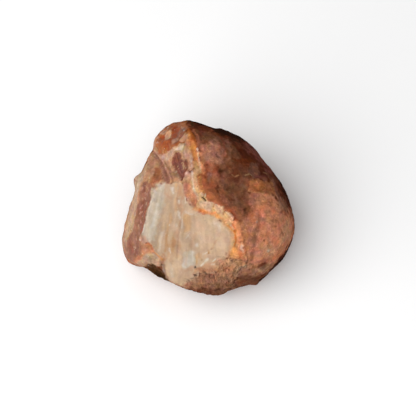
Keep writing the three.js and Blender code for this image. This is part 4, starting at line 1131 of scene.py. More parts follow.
    # Painted shade along the lip above the undercut, in clay and bark.
    brush.stroke("clay", 0.5, 0.8, 1, [(-16.6, -14.4), (-15, -14.8), (-13.6, -15)])
    brush.stroke("bark", 0.5, 0.35, 0.5, [(-19, -15.8), (-17.4, -15.5)])
    brush.stroke("amber", 0.9, 0.15, 0.2, [(-15, -11.9), (-14, -12.8), (-13.2, -13.6), (-12.7, -14.2)])
    brush.stroke("ochre", 0.6, 0.3, 0.5, [(-12.8, -13.2), (-12.3, -14.4)])
    brush.stroke("peach", 0.9, 0.22, 0.25, [(-13.5, -14), (-13.6, -15.6)])
    brush.spot("mauve", 0.7, 0.35, (-12.3, -14.9))
    brush.spot("soot_and_shade", 0.75, 0.22, (-12.6, -15.5))
    brush.stroke("umber", 0.6, 0.1, 0.15, [(-15.7, -14.2), (-15.7, -15.2)])
    brush.stroke("mauve", 0.75, 0.5, 0.5, [(-16.4, 6.6), (-15.3, 5.9), (-14.6, 5.9)])


def paint_undercut(brush):
    """The dark under the lip at the lower left: dirt, and painted shade where the lip hides the light."""
    brush.patch("olive", 0.95, 0.3, [
        (-18.6, -16.8), (-17.2, -16), (-16.2, -15.2), (-15.3, -15.4), (-14.4, -16.2), (-13.2, -16.7),
        (-12.6, -17.6), (-12, -18.8), (-10.8, -19.8), (-10.4, -21), (-13.2, -19.8), (-15.4, -18.4),
        (-17.4, -17.4)])
    brush.stroke("bark", 0.4, 0.2, 0.3, [(-15.4, -16.2), (-13.8, -17.2), (-12.6, -18.4)])
    brush.stroke("bark", 0.5, 0.25, 0.4, [(-16.9, -16), (-15.9, -15.6)])
    brush.stroke("rust", 0.5, 0.25, 0.3, [(-17.4, -16.8), (-16, -17)])
    brush.stroke("soot_and_shade", 0.8, 0.25, 0.3, [(-14.6, -18), (-13.2, -18.9), (-11.6, -20)])
    brush.stroke("slate", 0.45, 0.25, 0.5, [(-12.8, -16.2), (-12.2, -17.4)])


def paint_lower_edge(brush):
    """Peach and brown over the ragged line where the milky face runs into the crust."""
    brush.stroke("peach", 0.4, 0.4, 0.8, [(5.6, -13.4), (3.6, -14.3)])
    brush.stroke("tan", 0.6, 0.5, 0.8, [
        (-2.8, -19.6), (-4.8, -20.6), (-6.6, -21.4), (-9, -21.6), (-11, -20.8)])
    brush.stroke("bark", 0.5, 0.3, 0.6, [(3.2, -15.6), (3, -17.4), (0.8, -18.7), (-2.2, -18.4), (-3, -19.8)])
    brush.stroke("clay", 0.5, 0.5, 0.8, [(-3.4, -20.6), (-5, -21.2), (-6.4, -22)])
    # Painted shade: a clay stroke along the undercut's edge.
    brush.stroke("clay", 0.7, 0.4, 0.6, [(-7.4, -21.9), (-9.6, -21.1), (-11, -20.2)])
    brush.stroke("chestnut", 0.6, 0.2, 0.25, [(-10.8, -20.9), (-8.6, -21.8), (-6.6, -22.5)])


def paint_crust(brush):
    """The rough brown crust along the bottom, with its cracks and pits, and painted shade along its lower
    edge.
    """
    brush.patch("clay", 0.9, 0.6, ROUGH_CRUST)
    brush.patch("mauve", 0.5, 0.6, [(-2.6, -18.8), (0.2, -18.6), (1.6, -19.4), (0.6, -20.6), (-2.4, -20.6)])
    brush.patch("tawny", 0.6, 0.6, [(-4.2, -19.9), (-2.6, -18.9), (-1.6, -19.8), (-2.6, -20.9), (-4.6, -21)])
    brush.patch("chestnut", 0.8, 0.8, [
        (-6.2, -21.4), (-2.8, -21.2), (1.9, -21.2), (3.4, -20.6), (6, -20.2), (6.6, -22.4), (4.3, -24.4),
        (-0.8, -24.7), (-5.9, -23)])
    brush.patch("rust", 0.6, 0.4, [(-4.4, -22.2), (-2.4, -22.2), (-1.4, -23), (-1.8, -23.8), (-4.2, -23.2)])
    brush.patch("umber", 0.4, 0.8, [(-1.2, -21.8), (1.2, -21.8), (1.4, -23.8), (-0.8, -24.2)])
    brush.spot("clay", 0.8, 0.9, (4.2, -21.7))
    brush.stroke("clay", 0.8, 0.5, 0.8, [(-3.6, -22), (-1, -21.4), (1.6, -21.4)])
    brush.stroke("tan", 0.7, 0.4, 0.6, [(-7.4, -21.6), (-5.4, -21.9)])
    brush.stroke("mauve", 0.6, 0.3, 0.4, [(-5.8, -22.2), (-4.4, -21.9), (-2.8, -21.8)])
    brush.stroke("umber", 0.45, 0.6, 1, [(-3.6, -23.2), (0, -22.6), (3.6, -22.2)])
    brush.patch("peach", 0.75, 0.6, [
        (3, -14.2), (5.5, -13.9), (8, -14.2), (10.2, -14.6), (10.2, -16.2), (8, -16.8), (4.8, -15.9),
        (3.2, -15.4)])
    brush.patch("tan", 0.8, 0.7, [
        (3.2, -15.6), (6, -16), (8.4, -16.8), (7.8, -19), (5.4, -19.2), (2.6, -17.6)])
    brush.stroke("biscuit", 0.9, 0.22, 0.3, [(7.6, -17), (8.8, -16.4), (10.3, -15.8)])
    brush.stroke("peach", 0.5, 0.2, 0.3, [(4.4, -17.4), (5.4, -18.2), (6.6, -18.4)])
    brush.stroke("soot_and_shade", 0.85, 0.14, 0.2, [(1.2, -18.6), (1.8, -19.1), (2.2, -19.8)])
    brush.stroke("soot_and_shade", 0.7, 0.2, 0.25, [(1.9, -22.6), (2.6, -22.4), (3.2, -22.3)])
    for place, radius in (
        ((4.1, -15.5), 0.2), ((3.5, -16.2), 0.22), ((4.9, -16.7), 0.25), ((5.6, -17.2), 0.2),
        ((6.7, -18.6), 0.25), ((8.2, -19.2), 0.22), ((3.6, -19.8), 0.25), ((0.2, -20.8), 0.22),
        ((5.2, -20.4), 0.2), ((-0.8, -19.2), 0.18),
    ):
        brush.spot("umber", 0.8, radius, place)
    # Painted shade: a dark line along the bottom edge, where it turns down towards the floor.
    brush.stroke("soot_and_shade", 0.7, 0.2, 0.3, [
        (-10, -21.4), (-6.4, -22.7), (-4.2, -23.4), (0.4, -24.5), (3.9, -24.5), (6.3, -23.1), (7.8, -22.5),
        (13.2, -21.9)])


def paint_back(brush):
    """Worn skin over the back: rust and umber, with mauve and salmon clouds and one pale chip."""
    brush.patch("salmon", 0.7, 2.5, [(4, 8), (12, 6), (15, -2), (9, -9), (2, -6), (0.5, 2)])
    brush.patch("mauve", 0.7, 2.5, [(-16, 6), (-8, 10), (-3, 4), (-8, -4), (-16, -2)])
    brush.patch("bark", 0.7, 2, [(-6, 20), (4, 20), (8, 14), (0, 11), (-8, 14)])
    brush.patch("tawny", 0.7, 1.5, [(-14, -8), (-6, -7), (-2, -12), (-8, -17), (-15, -14)])
    brush.patch("biscuit", 0.8, 0.4, [(9, 15), (12, 13.6), (12.4, 11.4), (9.6, 11.8), (8.2, 13.4)])
    brush.stroke("terracotta", 0.7, 1, 1, [(-2, 14), (1, 6), (0, -4), (3, -14)])


# ----- Materials -----

def add(tree, kind, inputs=None, **settings):
    """A shader node with its settings made and its inputs set to values or joined to sockets."""
    made = tree.nodes.new("ShaderNode" + kind)
    for name, value in settings.items():
        setattr(made, name, value)
    for key, value in (inputs or {}).items():
        if isinstance(value, bpy.types.NodeSocket):
            tree.links.new(value, made.inputs[key])
        else:
            made.inputs[key].default_value = value
    return made


def calc(tree, operation, *values, clamp=False):
    """The result of a Math node."""
    inputs = dict(enumerate(values))
    return add(tree, "Math", inputs, operation=operation, use_clamp=clamp).outputs[0]


def product(tree, first, second):
    return calc(tree, "MULTIPLY", first, second)


def inverse(tree, value):
    """One less a value."""
    return calc(tree, "SUBTRACT", 1.0, value)


def plus(tree, start, value, share):
    """A start with a share of a value added to it."""
    return calc(tree, "MULTIPLY_ADD", value, share, start)


def ramp(tree, value, low, high, low_out=0.0, high_out=1.0):
    """A value carried from one range to another and held at its ends."""
    inputs = {"Value": value, "From Min": low, "From Max": high, "To Min": low_out, "To Max": high_out}
    return add(tree, "MapRange", inputs).outputs["Result"]


def blend(tree, factor, first, second, blend_type="MIX"):
    """Two colours mixed by a factor."""
    inputs = {0: factor, 6: first, 7: second}
    return add(tree, "Mix", inputs, data_type="RGBA", blend_type=blend_type).outputs[2]


def times(tree, colour, factors):
    """A colour multiplied by another, channel by channel."""
    return blend(tree, 1.0, colour, factors, "MULTIPLY")


def vector(tree, operation, inputs):
    """The result of a Vector Math node."""
    return add(tree, "VectorMath", inputs, operation=operation).outputs[0]


def attribute(tree, name, output="Vector"):
    """What is stored on the stone's points under a name."""
    return add(tree, "Attribute", attribute_name=name).outputs[output]


def noise_texture(tree, place, scale, detail, **inputs):
    return add(tree, "TexNoise", {"Vector": place, "Scale": scale, "Detail": detail, **inputs})


def effect(name, place, values, output):
    """A new shader node group of a place, some values and one output: its tree, inputs and output socket."""
    tree = bpy.data.node_groups.new(name, "ShaderNodeTree")
    tree.interface.new_socket(place, in_out="INPUT", socket_type="NodeSocketVector")
    for value in values:
        tree.interface.new_socket(value, in_out="INPUT", socket_type="NodeSocketFloat")
    tree.interface.new_socket(output, in_out="OUTPUT", socket_type="NodeSocketFloat")
    return tree, tree.nodes.new("NodeGroupInput").outputs, tree.nodes.new("NodeGroupOutput").inputs[output]


def mottle_effect():
    """Cloudy variation about 1, of a given size in millimetres and contrast."""
    tree, given, out = effect("Mottle", "Place", ("Size", "Contrast"), "Factor")
    scale = calc(tree, "DIVIDE", 1.0, given["Size"])
    clouds = noise_texture(tree, given["Place"], scale, 3.0, Roughness=0.6)
    swing = ramp(tree, clouds.outputs[0], 0.3, 0.7, -1.0, 1.0)
    tree.links.new(plus(tree, 1.0, swing, given["Contrast"]), out)
    return tree


def ring_effect():
    """Broken rings, as knocks leave in a worn skin."""
    tree, given, out = effect("Ring marks", "Place", ("Size", "Width"), "Mask")
    ring_radius = 0.36
    scale = calc(tree, "DIVIDE", 1.0, given["Size"])
    wander = noise_texture(tree, given["Place"], 1.1, 1.0)
    bent = vector(tree, "SCALE", {0: wander.outputs[1], "Scale": 0.9})
    place = vector(tree, "ADD", {0: given["Place"], 1: bent})
    cells = add(tree, "TexVoronoi", {"Vector": place, "Scale": scale})
    off = calc(tree, "ABSOLUTE", calc(tree, "SUBTRACT", cells.outputs["Distance"], ring_radius))
    line = calc(tree, "SUBTRACT", 1.0, calc(tree, "DIVIDE", off, given["Width"]), clamp=True)
    breaks = noise_texture(tree, given["Place"], 0.9, 2.0)
    tree.links.new(product(tree, line, ramp(tree, breaks.outputs[0], 0.45, 0.6)), out)
    return tree


def web_effect():
    """A web of thin pale lines, from 0 to 1, of a given size in millimetres."""
    tree, given, out = effect("Web", "Place", ("Size", "Sharpness"), "Mask")
    scale = calc(tree, "DIVIDE", 1.0, given["Size"])
    folds = noise_texture(tree, given["Place"], scale, 2.0, Distortion=0.8)
    crease = calc(tree, "ABSOLUTE", calc(tree, "SUBTRACT", folds.outputs[0], 0.5))
    fall = product(tree, given["Sharpness"], -1.0)
    tree.links.new(calc(tree, "MULTIPLY_ADD", crease, fall, 1.0, clamp=True), out)
    return tree


def glint_effect():
    """Scattered small bright flecks where tiny fresh faces catch the light, for painted highlights."""
    tree, given, out = effect("Glints", "Place", ("Size", "Amount"), "Mask")
    scale = calc(tree, "DIVIDE", 1.0, given["Size"])
    cells = add(tree, "TexVoronoi", {"Vector": given["Place"], "Scale": scale})
    pick = add(tree, "SeparateColor", {0: cells.outputs["Color"]}).outputs[0]
    chosen = calc(tree, "LESS_THAN", pick, given["Amount"])
    fleck = ramp(tree, cells.outputs["Distance"], 0.2, 0.4, 1.0, 0.0)
    tree.links.new(product(tree, chosen, fleck), out)
    return tree


def fibre_effect():
    """Fine streaks along the fibres, from -1 to 1."""
    tree, given, out = effect("Fibres", "Across and along", ("Fineness",), "Streak")
    stretched = vector(tree, "MULTIPLY", {0: given["Across and along"], 1: (1.0, 0.09, 1.0)})
    streaks = noise_texture(tree, stretched, given["Fineness"], 1.0)
    tree.links.new(ramp(tree, streaks.outputs[0], 0.3, 0.7, -1.0, 1.0), out)
    return tree


# What multiplies the colour in the skin's redder clouds and in its ring marks, and the colour of a painted
# glint.
REDDER = (1.12, 0.9, 0.8, 1.0)
PALER = (1.9, 2.0, 2.1, 1.0)
GLINT = (0.75, 0.66, 0.58, 1.0)


def carnelian_material():
    """Chalcedony: waxy where milky, glassy on fresh breaks, dull on its old skin and rough on its crust."""
    material = bpy.data.materials.new("carnelian")
    material.use_nodes = True
    tree = material.node_tree
    shader = tree.nodes["Principled BSDF"]
    place = attribute(tree, "display")
    fibre = attribute(tree, "fibre")
    tint = attribute(tree, "tint", "Color")
    finish = attribute(tree, "finish")
    milk, crust, glass = add(tree, "SeparateXYZ", {0: finish}).outputs
    dull = inverse(tree, calc(tree, "ADD", milk, glass, clamp=True))
    not_milk = inverse(tree, milk)
    mottle = mottle_effect()
    fibres = fibre_effect()

    def use(group, **inputs):
        return add(tree, "Group", {name.replace("_", " "): value for name, value in inputs.items()},
                   node_tree=group).outputs[0]

    ring = use(ring_effect(), Place=place, Size=1.8, Width=0.09)
    glint = use(glint_effect(), Place=place, Size=0.4, Amount=0.03)
    web = use(web_effect(), Place=place, Size=plus(tree, 1.1, milk, 0.6), Sharpness=22.0)
    coarse_streak = use(fibres, Across_and_along=fibre, Fineness=0.6)
    fine_streak = use(fibres, Across_and_along=fibre, Fineness=1.7)
    streak = product(tree, calc(tree, "ADD", coarse_streak, fine_streak), milk)

    # Lightness: mottles all over, streaks in the milk, and pale webs that show most in the skin.
    broad = use(mottle, Place=place, Size=2.0, Contrast=plus(tree, 0.05, not_milk, 0.07))
    fine = use(mottle, Place=place, Size=0.6, Contrast=plus(tree, 0.05, not_milk, 0.13))
    light = plus(tree, product(tree, broad, fine), streak, 0.045)
    light = plus(tree, light, web, plus(tree, 0.05, dull, 0.13))
    toned = times(tree, tint, add(tree, "CombineColor", {0: light, 1: light, 2: light}).outputs[0])

    # Hue: redder clouds and pale rings in the skin, and painted glints where the stone is glassy.
    warm = ramp(tree, use(mottle, Place=place, Size=2.6, Contrast=0.5), 0.9, 1.5)
    toned = blend(tree, product(tree, warm, dull), toned, times(tree, toned, REDDER))
    ring_on_skin = product(tree, ring, dull)
    toned = blend(tree, product(tree, ring_on_skin, 0.4), toned, times(tree, toned, PALER))
    painted_glint_share = plus(tree, product(tree, milk, 0.15), glass, 0.45)
    toned = blend(tree, product(tree, glint, painted_glint_share), toned, GLINT)
    tree.links.new(toned, shader.inputs["Base Color"])

    # Gloss.
    rough = plus(tree, 0.6, milk, -0.12)
    rough = plus(tree, rough, glass, -0.26)
    rough = plus(tree, rough, crust, 0.25)
    uneven = use(mottle, Place=place, Size=0.8, Contrast=0.25)
    tree.links.new(calc(tree, "MULTIPLY", rough, uneven, clamp=True), shader.inputs["Roughness"])
    coat = plus(tree, plus(tree, 0.01, milk, 0.22), glass, 0.25)
    tree.links.new(coat, shader.inputs["Coat Weight"])
    shader.inputs["Coat Roughness"].default_value = 0.3
    shader.inputs["Specular IOR Level"].default_value = 0.0

    # The finest relief, in millimetres: grain all over, grit in the crust, grooved rings and proud glints.
    grit = use(mottle, Place=place, Size=0.5, Contrast=0.12)
    height = plus(tree, use(mottle, Place=place, Size=0.28, Contrast=0.025), grit, crust)
    height = plus(tree, height, ring_on_skin, -0.03)
    height = plus(tree, height, product(tree, glint, glass), 0.06)
    bump = add(tree, "Bump", {"Height": height, "Strength": 1.0, "Distance": MM})
    tree.links.new(bump.outputs[0], shader.inputs["Normal"])
    return material


# ----- Settings -----

def colour(name, description, value):
    return bpy.props.FloatVectorProperty(
        name=name, description=description, subtype="COLOR", size=3, min=0, max=1, default=value)


def number(name, description, value, **settings):
    return bpy.props.FloatProperty(name=name, description=description, default=value, **settings)


def length(name, description, value):
    return number(name, description, value, subtype="DISTANCE")


class CarnelianForm(bpy.types.PropertyGroup):
    """Sizes of the stone."""

    face_tilt: number(
        "Face tilt", "Angle of the broken face's normal above the horizon", math.radians(65), subtype="ANGLE")
    underside_drop: length("Underside drop", "From the heart's plane down to the flat underside", 15 * MM)
    segments: bpy.props.IntProperty(
        name="Segments", description="Quads along each side of the globe's six patches", default=128, min=8)


class CarnelianColours(bpy.types.PropertyGroup):
    """Colours laid on the stone."""

    milk: colour("Milk", "Plain milky inside", (0.39, 0.262, 0.168))
    pearl: colour("Pearl", "Cool white of the thickest fibres", (0.415, 0.335, 0.250))
    cream: colour("Cream", "Pinkish part of the milky inside", (0.46, 0.315, 0.205))
    # Frost is also painted highlight: bright edges and glints.
    frost: colour("Frost", "Bright edges and fresh chips", (0.52, 0.46, 0.38))
    honey: colour("Honey", "Yellow stain in the milky inside", (0.41, 0.23, 0.105))
    ochre: colour("Ochre", "Brown-yellow streaks down the fibres", (0.35, 0.158, 0.048))
    tan: colour("Tan", "Tan streaks and the upper left side", (0.38, 0.193, 0.102))
    biscuit: colour("Biscuit", "Pale strip down the left side", (0.37, 0.235, 0.145))
    sand: colour("Sand", "Cream ledge along the ridge", (0.44, 0.27, 0.135))
    amber: colour("Amber", "Bright orange seams", (0.50, 0.205, 0.062))
    orange: colour("Orange", "Orange band of the ridge and the knob", (0.30, 0.084, 0.018))
    flame: colour("Flame", "Deep red-orange glass", (0.31, 0.046, 0.003))
    peach: colour("Peach", "Pale peach chips", (0.48, 0.245, 0.135))
    rose: colour("Rose", "Reddish skin near the top", (0.31, 0.135, 0.088))
    orchid: colour("Orchid", "Pale mauve-pink of the knob's lower side", (0.44, 0.245, 0.162))
    salmon: colour("Salmon", "Worn skin at the lower right", (0.455, 0.187, 0.104))
    apricot: colour("Apricot", "Lighter orange skin", (0.49, 0.195, 0.089))
    coral: colour("Coral", "Pink-orange tongue beside the ridge", (0.42, 0.162, 0.073))
    tawny: colour("Tawny", "Orange-tan band in the skin", (0.32, 0.124, 0.051))
    terracotta: colour("Terracotta", "Red-brown band by the ridge", (0.28, 0.084, 0.036))
    rust: colour("Rust", "Plain skin", (0.112, 0.026, 0.008))
    brick: colour("Brick", "Redder skin", (0.34, 0.120, 0.061))
    # Umber also paints shade towards the rims.
    umber: colour("Umber", "Dark skin", (0.076, 0.018, 0.008))
    # Soot is also the painted shade along the rims.
    soot_and_shade: colour("Soot", "Nearly black skin, cracks and pits", (0.016, 0.006, 0.003))
    bark: colour("Bark", "Brown of the worn hollow", (0.175, 0.071, 0.036))
    ash: colour("Ash", "Greyish mauve patches in the skin", (0.21, 0.096, 0.061))
    mauve: colour("Mauve", "Mauve-brown breaks on the left", (0.225, 0.092, 0.055))
    plum: colour("Plum", "Dark purple-brown", (0.180, 0.048, 0.027))
    wine: colour("Wine", "Darkest part of the sparkling hollow", (0.169, 0.053, 0.040))
    clay: colour("Clay", "Rough crust", (0.265, 0.133, 0.079))
    chestnut: colour("Chestnut", "Darker crust and small spots", (0.140, 0.056, 0.028))
    bronze: colour("Bronze", "Greenish-brown specks", (0.164, 0.094, 0.020))
    # Olive is also the painted shade under the lip.
    olive: colour("Olive", "Dirt in the undercut", (0.045, 0.020, 0.006))
    slate: colour("Slate", "Grey veins", (0.203, 0.169, 0.154))


class CarnelianStage(bpy.types.PropertyGroup):
    """The floor, the lights and the camera."""

    lens: number("Lens", "Focal length of the camera, in millimetres", 200.0, unit="CAMERA")
    frame_width: length("Frame width", "Width of the view at the stone", 115.56 * MM)
    aim_below: length("Aim below", "How far below the display frame's origin the camera aims", 0.12 * MM)
    floor_reach: length("Floor reach", "How far the floor runs from the stone each way", 3.0)
    floor_colour: colour("Floor", "Colour of the floor", (0.96, 0.96, 0.96))
    key_power: number("Key power", "Power of the large soft light", 5.2, unit="POWER")
    key_width: length("Key width", "Width of the large soft light", 0.8)
    key_distance: length("Key distance", "How far the soft light stands from the stone", 0.6)
    sky_strength: number("Sky strength", "Strength of the even light from all round", 0.45)


# ----- Making the pieces -----

# Clouds of other colours in the plain skin: colour, size in millimetres, seed, and how little of it shows.
SKIN_CLOUDS = (
    ("umber", 7, 11, -0.1), ("brick", 4.5, 12, 0.1), ("ash", 3.2, 13, 0.25), ("salmon", 5.5, 14, 0.3),
)
CLOUD_EDGE = 0.45
CLOUD_STRENGTH = 0.8

# Blotches of the skin and the milk, as layers of clouds, and the milk's streaks, which weaken to the right.
SKIN_BLOTCHES = ((0.22, 1.1, 3, 31), (0.12, 3.5, 2, 32))
MILK_BLOTCHES = ((0.07, 2.6, 3, 36),)
STREAK_STRENGTH = 0.2
STREAKS_WEAKEN = 0.6
STREAKS_WEAKEN_OVER = (-8, -2)

# How the streaks and the waves are drawn out along the fibres, and how little depth counts across them.
STREAK_SQUEEZE = (1, 0.12, 1)
WAVE_SQUEEZE = (1, 0.1, 1)
FIBRE_DEPTH = 0.1

# How much green and blue drift by themselves: channel, amount, how much less in the milk, size and seed.
HUE_DRIFT = ((1, 0.12, 0.09, 1.8, 33), (2, 0.22, 0.14, 1.5, 34))

# Small relief in millimetres, as layers of clouds.
MILK_WAVES = ((0.16, 2.6, 2, 21), (0.06, 0.9, 1, 22))
MILK_SWELLS = ((0.45, 4.5, 2, 28), (0.05, 1.2, 2, 27))
SKIN_DENTS = ((0.25, 6, 2, 23), (0.14, 1.6, 3, 24))
CRUST_LUMPS = ((0.34, 1.5, 3, 25),)
CRUST_PITS = ((0.25, 0.9, 2, 26),)

# Heights above the rim, in millimetres, over which the front's marks appear and over which they stray more.
MARKS_APPEAR = (-5, -1)
MARKS_STRAY = (3, -1)
STRAYING_AT_RIM = 5

# How softly the milk, the crust and the glassy breaks end. The milk's edge softens down its lower part.
MILK_EDGE = 0.8
MILK_EDGE_BELOW = 1.6
MILK_SOFTENS_OVER = (-8, -16)
CRUST_EDGE = 2.6
GLASS_EDGE = 0.6

# Heights above the rim over which the undercut's dirt and painted shade appear, and how their border waves.
UNDERCUT_DARK_APPEARS = (1, 8)
UNDERCUT_DARK_WAVES = ((4, 4.5, 3, 7),)

# The way from the stone to the key light.
KEY_DIRECTION = Vector((-0.55, -0.415, 0.719)).normalized()


def base_colours(colours, points):
    """The skin's own colours all over the stone: rust, with umber, brick, ash and salmon clouds."""
    tint = np.tile(np.array(colours.rust), (len(points), 1))
    for name, size, seed, level in SKIN_CLOUDS:
        amount = smooth_step(level, level + CLOUD_EDGE, cloud(points, size, 3, seed))[:, None]
        tint += (np.array(getattr(colours, name)) - tint) * amount * CLOUD_STRENGTH
    return tint


def weather(tint, points, fibre, milk):
    """Varies the brightness and warmth: in blotches over the skin, along the fibres in the milk."""
    blotch = clouds(points, SKIN_BLOTCHES)
    fibrous = 1 - STREAKS_WEAKEN * smooth_step(*STREAKS_WEAKEN_OVER, points[:, 0])
    streak = STREAK_STRENGTH * fibrous * cloud(fibre * STREAK_SQUEEZE, 1.3, 3, seed=35)
    streak = streak + clouds(points, MILK_BLOTCHES)
    tint *= (1 + blotch + (streak - blotch) * milk)[:, None]
    for channel, amount, less_in_milk, size, seed in HUE_DRIFT:
        tint[:, channel] *= 1 + (amount - less_in_milk * milk) * cloud(points, size, 2, seed)


def fibre_places(points):
    """Where each point lies across and along the fibres of the inside."""
    across_angle = np.arctan2(points[:, 0] - FIBRE_APEX[0], FIBRE_APEX[1] - points[:, 1])
    along = np.hypot(points[:, 0] - FIBRE_APEX[0], points[:, 1] - FIBRE_APEX[1])
    return np.stack([across_angle * FIBRE_APEX[1], along, points[:, 2] * FIBRE_DEPTH], axis=1)


def small_relief(height, points, fibre, milk, crust):
    """Adds waves along the fibres and gentle swells in the milk, dents in the skin and pits in the crust."""
    height += milk * clouds(fibre * WAVE_SQUEEZE, MILK_WAVES)
    height += milk * clouds(points, MILK_SWELLS)
    height += (1 - milk) * clouds(points, SKIN_DENTS)
    height += crust * (clouds(points, CRUST_LUMPS) - np.maximum(clouds(points, CRUST_PITS), 0))
    return height


def fine_stone(form, colours):
    """The stone's points and quads, with the colour, finish and fibre direction of each point."""
    ball, quads = globe(form.segments)
    points, front = general_shape(ball)
    normals = vertex_normals(points, quads)
    rim = rim_curve(np.arctan2(points[:, 1] - HEART[1], points[:, 0] - HEART[0]))
    above_rim = points[:, 2] - rim
    facing = np.where(front, 1.0, smooth_step(*MARKS_APPEAR, above_rim))

    # Towards the rim the marks stray more, so that they don't run down the sides in straight lines.
    surface = Surface(points, 1 + STRAYING_AT_RIM * smooth_step(*MARKS_STRAY, above_rim))
    chisel = Chisel(surface, facing, CHISEL_ASTRAY)

    def within(drawing, outline, softness):
        distance = outline_distance(outline, drawing.u, drawing.v)
        return drawing.cover(slice(None), distance, 0, softness) * facing

    milk_edge = MILK_EDGE + MILK_EDGE_BELOW * smooth_step(*MILK_SOFTENS_OVER, points[:, 1])
    milk = within(chisel, MILKY_FACE, milk_edge)
    crust = within(chisel, ROUGH_CRUST, CRUST_EDGE)
    for cut in (cut_ridge, cut_knob, cut_left_side, cut_skin, cut_inside):
        cut(chisel)
    fibre = fibre_places(points)
    height = small_relief(chisel.height * facing, points, fibre, milk, crust)
    points = points + normals * height[:, None]

    tint = base_colours(colours, points)
    old_skin = Brush(colours, tint, surface, facing, *OLD_SKIN_HAND)
    for paint in (paint_dark_shoulder, paint_hollow, paint_salmon, paint_crust):
        paint(old_skin)
    broken = Brush(colours, tint, surface, facing, *BROKEN_HAND)
    for paint in (paint_milk, paint_lower_edge, paint_ledge, paint_knob, paint_left_side):
        paint(broken)
    # Painted shade and dirt under the lip, fading in above the rim.
    under_lip = facing * smooth_step(*UNDERCUT_DARK_APPEARS, above_rim + clouds(points, UNDERCUT_DARK_WAVES))
    paint_undercut(Brush(colours, tint, surface, under_lip, *UNDERCUT_HAND))
    paint_back(Brush(colours, tint, surface, 1 - facing, *BACK_HAND))
    weather(tint, surface.points, fibre, milk)
    # Painted shade darkens hollows and creases; wear pales proud points.
    tint *= (1 + wear_and_painted_shade(points, quads))[:, None]

    glass = within(broken, GLASSY_BREAKS, GLASS_EDGE) * (1 - milk)
    return points, quads, tint, np.stack([milk, crust, glass], axis=1), fibre


def store(mesh, name, kind, field, values):
    mesh.attributes.new(name, kind, "POINT").data.foreach_set(field, values.astype(np.float32).ravel())


class CARNELIAN_OT_stone(bpy.types.Operator):
    """Builds the pebble as one closed mesh with its material"""

    bl_idname = "carnelian.stone"
    bl_label = "Stone"

    def execute(self, context):
        form = context.scene.carnelian_form
        points, quads, tint, finish, fibre = fine_stone(form, context.scene.carnelian_colours)
        lying = lay_down(points, form.face_tilt, form.underside_drop / MM)
        lying[:, 2] = soft_max(lying[:, 2], 0.0, UNDERSIDE_SOFTNESS)
        low, high = (np.array(corner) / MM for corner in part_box(NODE))
        shift = (low + high - lying.max(axis=0) - lying.min(axis=0)) / 2
        lying[:, :2] += shift[:2]
        context.scene["display_origin"] = [shift[0] * MM, shift[1] * MM, form.underside_drop]
        mesh = bpy.data.meshes.new(NODE + "_fine")
        mesh.from_pydata((lying * MM).tolist(), [], quads.tolist())
        mesh.polygons.foreach_set("use_smooth", np.ones(len(quads), dtype=bool))
        store(mesh, "tint", "FLOAT_COLOR", "color", np.column_stack([tint, np.ones(len(tint))]))
        store(mesh, "finish", "FLOAT_VECTOR", "vector", finish)
        store(mesh, "fibre", "FLOAT_VECTOR", "vector", fibre)
        store(mesh, "display", "FLOAT_VECTOR", "vector", points)
        if mesh.validate():
            raise RuntimeError("the stone's mesh has bad faces")
        stone = bpy.data.objects.new("stone", mesh)
        context.scene.collection.objects.link(stone)
        mesh.materials.append(carnelian_material())
        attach(stone, "root")
        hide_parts(NODE)
        return {"FINISHED"}


def lay_floor(scene, reach, colour):
    """A wide plain square under the stone."""
    mesh = bpy.data.meshes.new("floor")
    mesh.from_pydata([(-reach, -reach, 0), (reach, -reach, 0), (reach, reach, 0), (-reach, reach, 0)], [],
                     [(0, 1, 2, 3)])
    floor = bpy.data.objects.new("floor", mesh)
    scene.collection.objects.link(floor)
    material = bpy.data.materials.new("floor")
    material.use_nodes = True
    shader = material.node_tree.nodes["Principled BSDF"]
    shader.inputs["Base Color"].default_value = (*colour, 1)
    mesh.materials.append(material)


def stand(scene, name, data, target, direction, distance):
    """Puts a camera or a light at a distance from the target, looking at it."""
    made = bpy.data.objects.new(name, data)
    made.location = target + direction * distance
    made.rotation_mode = "QUATERNION"
    made.rotation_quaternion = (-direction).to_track_quat("-Z", "Y")
    scene.collection.objects.link(made)
    return made


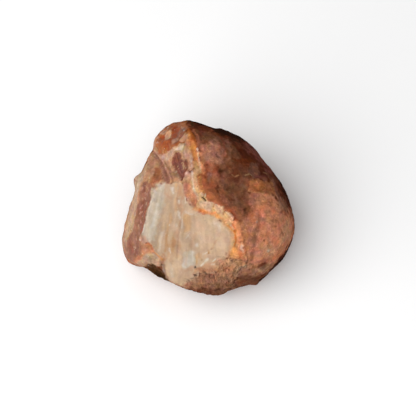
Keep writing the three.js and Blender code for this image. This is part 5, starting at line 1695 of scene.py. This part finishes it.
class CARNELIAN_OT_stage(bpy.types.Operator):
    """Lays the plain floor and sets the soft lights and the camera"""

    bl_idname = "carnelian.stage"
    bl_label = "Stage"

    def execute(self, context):
        scene = context.scene
        stage = scene.carnelian_stage
        lay_floor(scene, stage.floor_reach, stage.floor_colour)
        tilt = scene.carnelian_form.face_tilt
        towards = Vector((0, -math.cos(tilt), math.sin(tilt)))
        down_the_face = Vector((0, math.sin(tilt), math.cos(tilt)))
        target = Vector(scene["display_origin"]) - down_the_face * stage.aim_below
        camera = bpy.data.cameras.new("camera")
        camera.lens = stage.lens
        distance = stage.frame_width * stage.lens / camera.sensor_width
        scene.camera = stand(scene, "camera", camera, target, towards, distance)
        key = bpy.data.lights.new("key", "AREA")
        key.size = stage.key_width
        key.energy = stage.key_power
        stand(scene, "key", key, target, KEY_DIRECTION, stage.key_distance)
        world = bpy.data.worlds.new("studio")
        world.use_nodes = True
        background = world.node_tree.nodes["Background"]
        background.inputs["Color"].default_value = (1, 1, 1, 1)
        background.inputs["Strength"].default_value = stage.sky_strength
        scene.world = world
        scene.view_settings.view_transform = "Standard"
        return {"FINISHED"}


class CARNELIAN_PT_panel(bpy.types.Panel):
    """Lists the pieces of the carnelian and its stage"""

    bl_idname = "CARNELIAN_PT_panel"
    bl_label = "Raw Carnelian"
    bl_space_type = "VIEW_3D"
    bl_region_type = "UI"
    bl_category = "Carnelian"

    def draw(self, context):
        for operator in (CARNELIAN_OT_stone, CARNELIAN_OT_stage):
            self.layout.operator(operator.bl_idname)


CLASSES = (
    CarnelianForm, CarnelianColours, CarnelianStage,
    CARNELIAN_OT_stone, CARNELIAN_OT_stage, CARNELIAN_PT_panel,
)


def register():
    for cls in CLASSES:
        bpy.utils.register_class(cls)
    bpy.types.Scene.carnelian_form = bpy.props.PointerProperty(type=CarnelianForm)
    bpy.types.Scene.carnelian_colours = bpy.props.PointerProperty(type=CarnelianColours)
    bpy.types.Scene.carnelian_stage = bpy.props.PointerProperty(type=CarnelianStage)


def unregister():
    del bpy.types.Scene.carnelian_stage
    del bpy.types.Scene.carnelian_colours
    del bpy.types.Scene.carnelian_form
    for cls in reversed(CLASSES):
        bpy.utils.unregister_class(cls)


def main():
    register()
    bpy.ops.carnelian.stone()
    bpy.ops.carnelian.stage()


if __name__ == "__main__":
    main()
